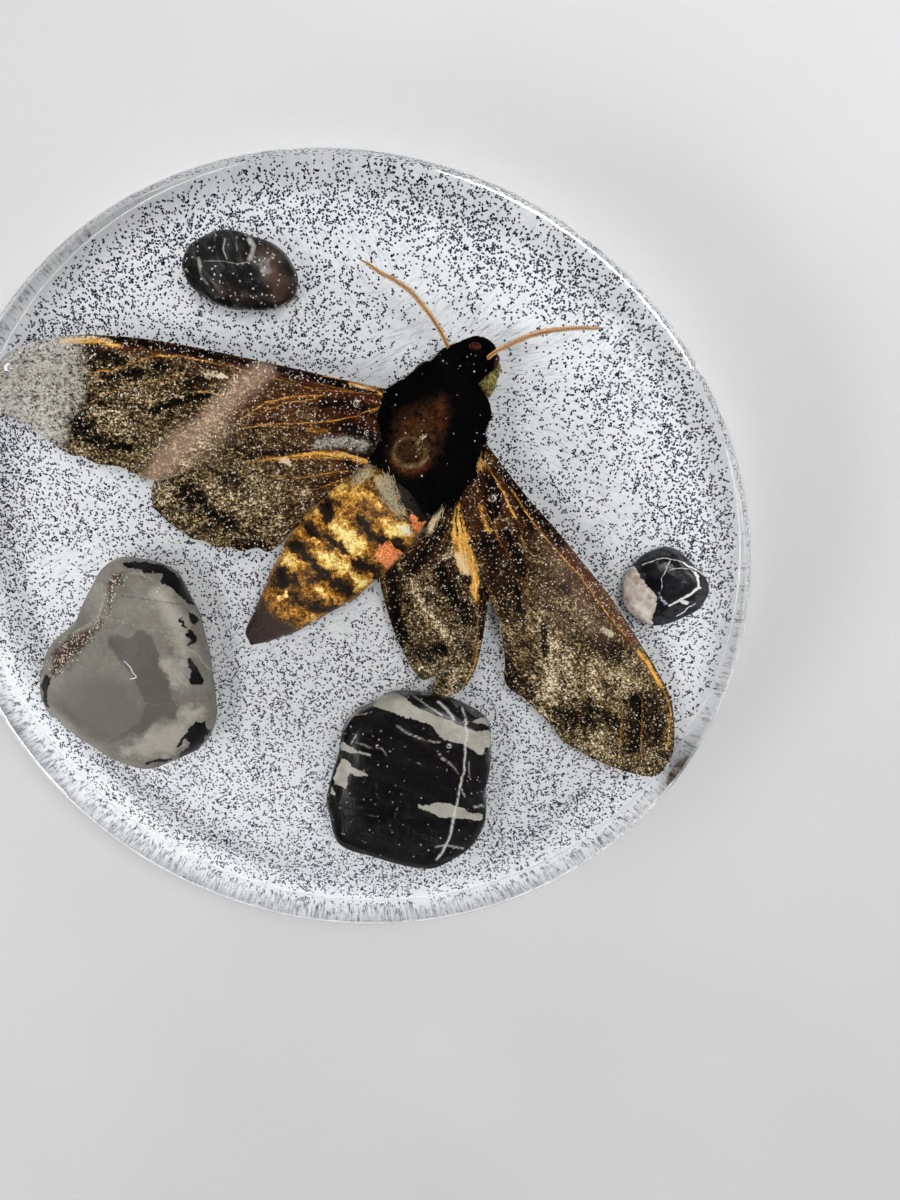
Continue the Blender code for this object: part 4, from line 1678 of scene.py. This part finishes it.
def banded_finish():
    """Glossy black with light grey bands whose edges are torn, a thin white vein, and a faint painted
    highlight line drawn with the vein.
    """
    finish = Finish("banded_black_stone", Roughness=0.2, Specular_IOR_Level=0.08)
    here = finish.place()
    pale, vein, dust = (finish.mark(name) for name in ("pale", "vein", "dust"))
    torn = finish.noise(here, 1.1, detail=6, rough=0.7)
    drawn = finish.noise(finish.stretch(here, (0.25, 2.2, 1), 0.45), 1.0, detail=5, rough=0.65)
    soft = finish.noise(here, 0.35, detail=3)
    grain = finish.cells(here, 6.0)
    colour = finish.mix(drawn.rises(0.3, 0.8), (0.0025, 0.0024, 0.0024), (0.010, 0.009, 0.009))
    band = (pale + (drawn - 0.5) * 0.6 + (torn - 0.5) * 0.4).rises(0.44, 0.56)
    grey = finish.mix((soft + (torn - 0.5) * 0.5).rises(0.3, 0.7), (0.27, 0.255, 0.22), (0.42, 0.40, 0.35))
    colour = finish.mix(band, colour, grey)
    colour = finish.mix((dust * drawn).rises(0.45, 0.7) * 0.4, colour, (0.10, 0.095, 0.09))
    colour = finish.mix(vein * torn.rises(0.3, 0.45), colour, (0.70, 0.68, 0.64))
    colour = finish.mix(grain.rises(0.9965, 0.997) * 0.8, colour, (0.7, 0.7, 0.7))
    finish.set(Base_Color=colour)
    finish.bump(soft, 0.15)
    return finish.material


PALE_BANDS = [
    [(373, 704), (381, 697), (395, 693), (402, 696), (412, 704), (423, 710), (438, 716), (451, 721),
     (467, 728),
     (480, 732), (491, 731), (491, 746), (485, 748), (482, 755), (472, 750), (465, 745), (452, 742),
     (441, 738),
     (436, 730), (426, 723), (412, 719), (395, 714), (387, 710), (376, 707)],
    [(462, 722), (469, 723), (483, 717), (487, 720), (490, 726), (477, 723)],
    [(414, 804), (426, 805), (441, 803), (457, 806), (469, 812), (480, 814), (482, 820), (472, 820),
     (454, 818),
     (437, 816), (427, 811)],
    [(341, 750), (342, 742), (350, 746), (355, 750), (368, 753), (368, 755), (357, 753), (344, 751)],
    [(342, 760), (351, 763), (352, 767), (361, 771), (369, 776), (356, 776), (350, 773), (347, 779),
     (347, 788),
     (340, 786), (334, 783), (336, 772)],
    [(332, 786), (335, 794), (331, 794)],
]


def banded_marks(points):
    return {
        "pale": np.maximum(area(points, PALE_BANDS, 0.5, 0.2),
                           ink(points,
                               [(0.18, 0.6, [(350, 716), (372, 712)]),
                                (0.16, 0.5, [(400, 757), (430, 766), (455, 770)]),
                                        (0.2, 0.8, [(351, 743), (356, 735)])], 0.2)),
        "vein": ink(points, [
            (0.10, 1.0,
             [(462, 707), (465, 717), (467, 733), (465, 750), (464, 772), (460, 786), (458, 798),
              (454, 816)]),
            (0.14, 0.8, [(454, 816), (452, 828), (449, 839), (442, 853), (437, 859)]),
            (0.08, 0.7, [(460, 786), (465, 797)]),
            (0.08, 0.6, [(414, 696), (429, 707), (442, 715)]),
            (0.16, 0.9, [(439, 702), (447, 710), (454, 719)]),
            (0.08, 0.4, [(469, 762), (469, 777)]), (0.14, 0.8, [(474, 807), (483, 806)]),
            (0.08, 0.35, [(356, 742), (363, 745), (372, 748)]),
            (0.08, 0.35, [(376, 747), (382, 749), (387, 755)]),
            # a painted highlight: a faint scratchy white line, drawn with the vein
            (0.08, 0.5, [(397, 726), (407, 733), (419, 738), (432, 742), (441, 742)]),
            (0.08, 0.4, [(438, 751), (444, 760), (453, 766), (459, 774)]),
            (0.12, 0.5, [(436, 847), (444, 845), (463, 848)]),
        ], 0.1),
        "dust": ink(points, [(2.0, 0.7, [(352, 742), (385, 752)]), (1.0, 0.8, [(416, 783), (426, 791)]),
                             (2.6, 0.5, [(370, 735), (420, 750), (450, 780)]),
                             (2.0, 0.5, [(430, 820), (470, 800)])]),
    }


stone("banded_stone", BANDED_STONE, banded_finish(), banded_marks, 7.6, 4.2, 62, lump=0.12)

# %% The oval stone
OVAL_STONE = [(183, 263), (189, 246), (204, 235), (218, 230), (235, 230), (251, 234), (271, 242), (285, 253),
              (293, 264),
              (298, 277), (296, 294), (289, 303), (275, 309), (256, 311), (237, 310), (218, 305), (204, 297),
              (192, 286),
              (185, 274)]


def oval_finish():
    """Near black, with grey fibres that lean one way and a few pale crumbs."""
    finish = Finish("fibrous_black_stone", Roughness=0.25, Specular_IOR_Level=0.08)
    here = finish.place()
    crumb = finish.mark("crumb")
    fibre = finish.noise(finish.stretch(here, (1.8, 0.35, 1), -0.5), 1.0, detail=6, rough=0.75)
    cloud = finish.noise(here, 0.5, detail=4)
    grit = finish.cells(here, 5.0)
    colour = finish.mix((fibre * 0.7 + cloud * 0.5).rises(0.58, 0.95), (0.003, 0.003, 0.003),
                        (0.075, 0.072, 0.068))
    colour = finish.mix((fibre * 0.8 + crumb * 0.75 + (cloud - 0.5) * 0.6).rises(0.72, 1.25), colour,
                        (0.42, 0.41, 0.37))
    brown = finish.mark("brown")
    colour = finish.mix((brown * (cloud + 0.3)).rises(0.4, 0.9) * 0.6, colour, (0.060, 0.030, 0.020))
    colour = finish.mix((grit + brown * 0.02).rises(0.985, 0.99) * 0.8, colour, (0.55, 0.52, 0.48))
    finish.set(Base_Color=colour)
    finish.bump(cloud, 0.15)
    return finish.material


def oval_marks(points):
    return {
        "crumb": ink(points, [
            (0.45, 1.0, [(249, 240), (254, 246), (252, 254), (250, 258)]),
            (0.3, 1.1, [(263, 271), (265, 268)]),
            (0.14, 0.8, [(225, 239), (223, 249), (227, 259)]), (0.4, 0.6, [(215, 238), (214, 247)]),
            (0.4, 0.65, [(199, 258), (200, 275), (207, 283)]),
            (0.10, 0.7, [(204, 261), (223, 261), (237, 264), (248, 262)]),
            (0.12, 0.6, [(236, 236), (237, 251)]), (0.3, 0.6, [(262, 244), (264, 248)]),
            (0.2, 0.7, [(268, 262), (272, 256)]),
            (0.25, 0.6, [(253, 290), (256, 286)]), (0.3, 0.5, [(230, 298), (228, 290)]),
        ]),
        "brown": ink(points,
                     [(2.6, 1.0, [(262, 256), (276, 275), (282, 296)]),
                      (2.0, 0.7, [(225, 290), (250, 300)])]),
    }


stone("oval_stone", OVAL_STONE, oval_finish(), oval_marks, 5.6, 2.5, 63, lump=0.08)

# %% The small two-tone stone
SMALL_STONE = [(623, 591), (625, 576), (632, 565), (641, 556), (654, 550), (666, 548), (678, 551),
               (688, 559), (698, 569),
               (706, 578), (709, 590), (705, 600), (698, 609), (685, 616), (670, 622), (654, 625),
               (645, 623),
               (636, 617), (628, 609), (624, 600)]


def small_finish():
    """Glossy black with one pale pinkish end and white veins that follow its outline, and two painted
    highlights near its right edge drawn with the veins.
    """
    finish = Finish("two_tone_stone", Roughness=0.2, Specular_IOR_Level=0.08)
    here = finish.place()
    end, vein, frost, rim = (finish.mark(name) for name in ("end", "vein", "frost", "rim"))
    parting = finish.mark("parting")
    torn = finish.noise(here, 1.6, detail=5, rough=0.7)
    soft = finish.noise(here, 0.6, detail=4)
    colour = finish.mix(soft.rises(0.4, 0.8), (0.003, 0.003, 0.004), (0.012, 0.012, 0.014))
    colour = finish.mix((rim * torn).rises(0.35, 0.75) * 0.7, colour, (0.055, 0.058, 0.062))
    pink = finish.mix((soft * 1.2 + torn * 1.0).rises(0.85, 1.35), (0.27, 0.19, 0.16), (0.70, 0.64, 0.57))
    pink = finish.mix(parting * torn.rises(0.35, 0.6) * 0.7, pink, (0.20, 0.13, 0.10))
    colour = finish.mix((end + (torn - 0.5) * 0.25).rises(0.42, 0.58), colour, pink)
    colour = finish.mix((vein * (torn + 0.35)).rises(0.4, 0.6), colour, (0.72, 0.71, 0.68))
    colour = finish.mix((frost * torn).rises(0.42, 0.6), colour, (0.62, 0.68, 0.78))
    finish.set(Base_Color=colour)
    finish.bump(soft, 0.1)
    return finish.material


PALE_END = [(615, 555), (634, 567), (639, 575), (645, 582), (651, 589), (656, 596), (656, 603), (655, 610),
            (652, 619),
            (651, 623), (650, 635), (618, 635), (608, 600)]
DARK_HEART = [(643, 566), (663, 559), (680, 563), (697, 573), (700, 586), (688, 598), (668, 607), (655, 612)]


def small_marks(points):
    return {
        "end": area(points, [PALE_END], 0.5, 0.2),
        "parting": ink(points, [(0.5, 1.0, [(627, 583), (638, 596), (649, 607)])], 0.3),
        "vein": ink(points, [
            (0.08, 0.8, [(642, 565), (649, 562), (658, 559), (666, 558), (675, 560), (683, 563)]),
            (0.14, 1.1, [(683, 563), (689, 566), (696, 570)]), (0.09, 1.0, [(696, 570), (705, 576)]),
            (0.08, 0.7, [(662, 578), (666, 571), (673, 569), (684, 568), (691, 569), (694, 573)]),
            (0.08, 0.7, [(670, 560), (666, 569), (662, 578), (662, 586), (661, 592)]),
            (0.06, 0.4, [(649, 581), (672, 581)]),
            (0.18, 1.2, [(669, 606), (680, 600), (691, 594), (698, 588), (700, 588)]),
            (0.10, 0.9, [(677, 616), (684, 612), (689, 607), (695, 604)]),
            (0.35, 1.0, [(682, 601), (687, 603)]),
            # painted highlights near the right edge, drawn with the veins
            (0.25, 1.1, [(695, 573), (698, 577)]), (0.2, 1.0, [(698, 579), (699, 586)]),
        ], 0.08),
        "frost": ink(points,
                     [(0.5, 1.0, [(660, 594), (663, 599), (666, 604)]),
                      (0.4, 0.6, [(668, 566), (676, 572)])], 0.3),
        "rim": 1.0 - area(points, [DARK_HEART], 0.8, 0.2),
    }


stone("small_stone", SMALL_STONE, small_finish(), small_marks, 4.6, 2.6, 64, lump=0.08)

# %% [markdown]
# ## Bubbles
# Air was trapped as round bubbles. Light that goes from resin to air bends the other way, so a bubble is
# glass with an index of 1 over 1.5, which mirrors at its rim and shows as a bright ring. Most bubbles are
# only a dot, so they are joined into one mesh of 20-sided beads with a plain pale finish, a painted glint
# for the light such a tiny bubble mirrors.

# %% Large bubbles
BUBBLES = [(11.5, 369.5, 1.05, 9.6), (357, 404, 0.58, 11.4), (492, 498, 0.62, 11.6), (427, 588, 0.5, 9.8),
           (93, 409, 0.42, 10.0),
           (136, 390, 0.38, 10.4), (367, 433, 0.45, 11.6), (351, 449, 0.36, 11.2), (185, 508, 0.36, 9.4),
           (416, 638, 0.32, 9.6),
           (449, 746, 0.45, 12.0), (67, 437, 0.34, 9.6), (132, 424, 0.34, 10.0), (504, 565, 0.34, 10.6),
           (506, 528, 0.3, 10.8), (275, 415, 0.32, 10.4)]


def ball(centre, size, rows=28, columns=48):
    """A grid of points on a sphere, from its bottom to its top."""
    latitude = np.linspace(-np.pi / 2 * 0.98, np.pi / 2 * 0.98, rows)[:, None]
    angle = np.linspace(0, 2 * np.pi, columns, endpoint=False)
    flat = np.cos(latitude)
    return centre + size * np.stack([flat * np.cos(angle), flat * np.sin(angle),
                                     np.sin(latitude) + 0 * angle], -1)


def make_bubbles():
    finish = Finish("air_bubble")
    air = finish.add("ShaderNodeBsdfGlass", {}, {"Color": (1, 1, 1), "Roughness": 0.0, "IOR": 1 / RESIN_IOR})
    finish.links.new(air.outputs[0], finish.nodes["Material Output"].inputs[0])
    finish.nodes.remove(finish.shader)
    for number, (x, y, size, height) in enumerate(BUBBLES):
        centre = np.array([*into_block((x, y), height * MM)[0], height * MM])
        skin(f"bubble_{number + 1}", ball(centre, size * MM), finish.material, around=True,
             caps=BOTH)


make_bubbles()
print(len(BUBBLES), "large bubbles")

# %% Bubbles that show as dots
GOLDEN = (1 + 5 ** 0.5) / 2
BEAD = unit(np.array([(-1, GOLDEN, 0), (1, GOLDEN, 0), (-1, -GOLDEN, 0), (1, -GOLDEN, 0), (0, -1, GOLDEN),
                      (0, 1, GOLDEN),
                      (0, -1, -GOLDEN), (0, 1, -GOLDEN), (GOLDEN, 0, -1), (GOLDEN, 0, 1), (-GOLDEN, 0, -1),
                      (-GOLDEN, 0, 1)]))
BEAD_FACES = [(0, 11, 5), (0, 5, 1), (0, 1, 7), (0, 7, 10), (0, 10, 11), (1, 5, 9), (5, 11, 4), (11, 10, 2),
              (10, 7, 6),
              (7, 1, 8), (3, 9, 4), (3, 4, 2), (3, 2, 6), (3, 6, 8), (3, 8, 9), (4, 9, 5), (2, 4, 11),
              (6, 2, 10), (8, 6, 7), (9, 8, 1)]
EDGE_STEPS, EDGE_BEADS = 300, 55
SMALLEST_BEAD, BEAD_SPREAD = 0.055, 0.075


def bead_places():
    """Places for the dots: strewn over wings and body, and lined up just inside the forewings' leading
    edges."""
    source = np.random.default_rng(71)
    parts = []
    for obj, count in ((left_forewing, 620), (right_forewing, 520), (left_hindwing, 300),
                       (right_hindwing, 220)):
        points = np.empty(len(obj.data.vertices) * 3)
        obj.data.vertices.foreach_get("co", points)
        parts.append(points.reshape(-1, 3)[source.integers(0, len(points) // 3, count)])
    for edge, heights in (([(388, 396), (332, 383), (270, 369), (204, 354), (120, 342)],
                           [9.2, 9.1, 9.0, 8.8, 8.4]),
                          ([(490, 455), (528, 507), (554, 537), (581, 570), (630, 640)],
                           [9.6, 9.3, 9.0, 8.6, 7.8])):
        path = routed(edge, heights, EDGE_STEPS)
        along = path[source.integers(0, EDGE_STEPS, EDGE_BEADS)]
        parts.append(along + source.normal(0, 0.25 * MM, (EDGE_BEADS, 3)) * (1, 1, 0.2))
    for grid, count in ((thorax_grid, 80), (head_grid, 35), (abdomen_grid, 200)):
        places, outward = scattered(grid, count, source)
        parts.append((places + outward * 0.1 * MM)[outward[:, 2] > 0.1])
    places = np.vstack(parts)
    places[:, 2] += source.uniform(0.08, 0.5, len(places)) * MM
    return places, source


def make_beads():
    places, source = bead_places()
    count = len(places)
    size = (SMALLEST_BEAD + BEAD_SPREAD * source.random(count) ** 3) * MM
    turns = np.eye(3)[None] * size[:, None, None]
    # the pale finish is a painted glint: the light a tiny bubble mirrors
    finish = Finish("painted_glint_bead", Roughness=0.25, Specular_IOR_Level=0.5)
    shade = finish.mix(finish.cells(finish.place(), 2.0), (0.55, 0.55, 0.56), (0.95, 0.96, 0.98))
    finish.set(Base_Color=shade)
    many("small_bubbles", BEAD, BEAD_FACES, turns, places, finish.material, smooth=True)
    return count


print(make_beads(), "small bubbles")

# %% The stray fibre
FIBRE_FINISH = plain_finish("white_fibre", (0.75, 0.74, 0.72), (0.95, 0.94, 0.92), 3.0)
FIBRE_HEIGHT = 12.7
FIBRE_RADIUS = 0.07
FIBRE_STEPS = 60
fibre = routed([(124, 661), (130, 667), (133, 673), (136, 676), (135, 678), (130, 679)], [FIBRE_HEIGHT] * 6,
               FIBRE_STEPS)
skin("stray_fibre", tube(fibre, np.full(FIBRE_STEPS, FIBRE_RADIUS * MM), 8), FIBRE_FINISH,
     around=True, caps=BOTH)
print("stray fibre at", FIBRE_HEIGHT, "mm")

# %% [markdown]
# ## Floor and light
# A plain pale floor, a soft key box high at the upper right and a weaker, lower fill box from the left. The
# polished top mirrors whatever stands straight above it, so the sky is kept dark overhead and bright near
# the horizon: the black fur then stays black.

# %% Floor and light
FLOOR_SIDE = 4.0


def make_floor():
    finish = Finish("pale_floor", Roughness=0.7)
    speck = finish.noise(finish.place(), 0.02, detail=2)
    finish.set(Base_Color=finish.mix(speck.rises(0.3, 0.7), (0.175, 0.175, 0.175), (0.185, 0.185, 0.185)))
    mesh = bpy.data.meshes.new("floor")
    corners = [(-FLOOR_SIDE, -FLOOR_SIDE, 0), (FLOOR_SIDE, -FLOOR_SIDE, 0), (FLOOR_SIDE, FLOOR_SIDE, 0),
               (-FLOOR_SIDE, FLOOR_SIDE, 0)]
    mesh.from_pydata(corners, [], [(0, 1, 2, 3)])
    mesh.materials.append(finish.material)
    obj = bpy.data.objects.new("floor", mesh)
    bpy.context.scene.collection.objects.link(obj)


def make_light(name, bearing, elevation, distance, size, power):
    """A softbox that faces the block, from a bearing and an elevation in degrees."""
    b, e = np.radians([bearing, elevation])
    place = distance * np.array([np.cos(b) * np.cos(e), np.sin(b) * np.cos(e), np.sin(e)])
    data = bpy.data.lights.new(name, "AREA")
    data.shape = "RECTANGLE"
    data.size, data.size_y = size
    data.energy = power
    light = bpy.data.objects.new(name, data)
    bpy.context.scene.collection.objects.link(light)
    back = unit(place)
    side = unit(np.cross((0.0, 0.0, 1.0), back))
    turn = np.eye(4)
    turn[:3] = np.column_stack([side, np.cross(back, side), back, place])
    light.matrix_world = Matrix(turn.tolist())


def make_sky(horizon, zenith):
    """A sky whose brightness falls from the horizon to straight above."""
    world = bpy.data.worlds.new("studio")
    world.use_nodes = True
    nodes, links = world.node_tree.nodes, world.node_tree.links
    split = nodes.new("ShaderNodeSeparateXYZ")
    links.new(nodes.new("ShaderNodeTexCoord").outputs["Generated"], split.inputs[0])
    ramp = nodes.new("ShaderNodeMapRange")
    for socket, value in (("From Min", 0.35), ("From Max", 0.66), ("To Min", horizon), ("To Max", zenith)):
        ramp.inputs[socket].default_value = value
    links.new(split.outputs["Z"], ramp.inputs["Value"])
    links.new(ramp.outputs[0], nodes["Background"].inputs["Strength"])
    nodes["Background"].inputs["Color"].default_value = (1.0, 1.0, 1.0, 1.0)
    bpy.context.scene.world = world


make_floor()
make_sky(1.3, 0.02)
make_light("key", 50, 56, 0.9, (0.6, 0.4), 27.0)
make_light("fill", 200, 33, 0.9, (0.7, 0.3), 11.0)
bpy.context.scene.view_settings.view_transform = "Standard"
bpy.context.scene.cycles.blur_glossy = 0.05
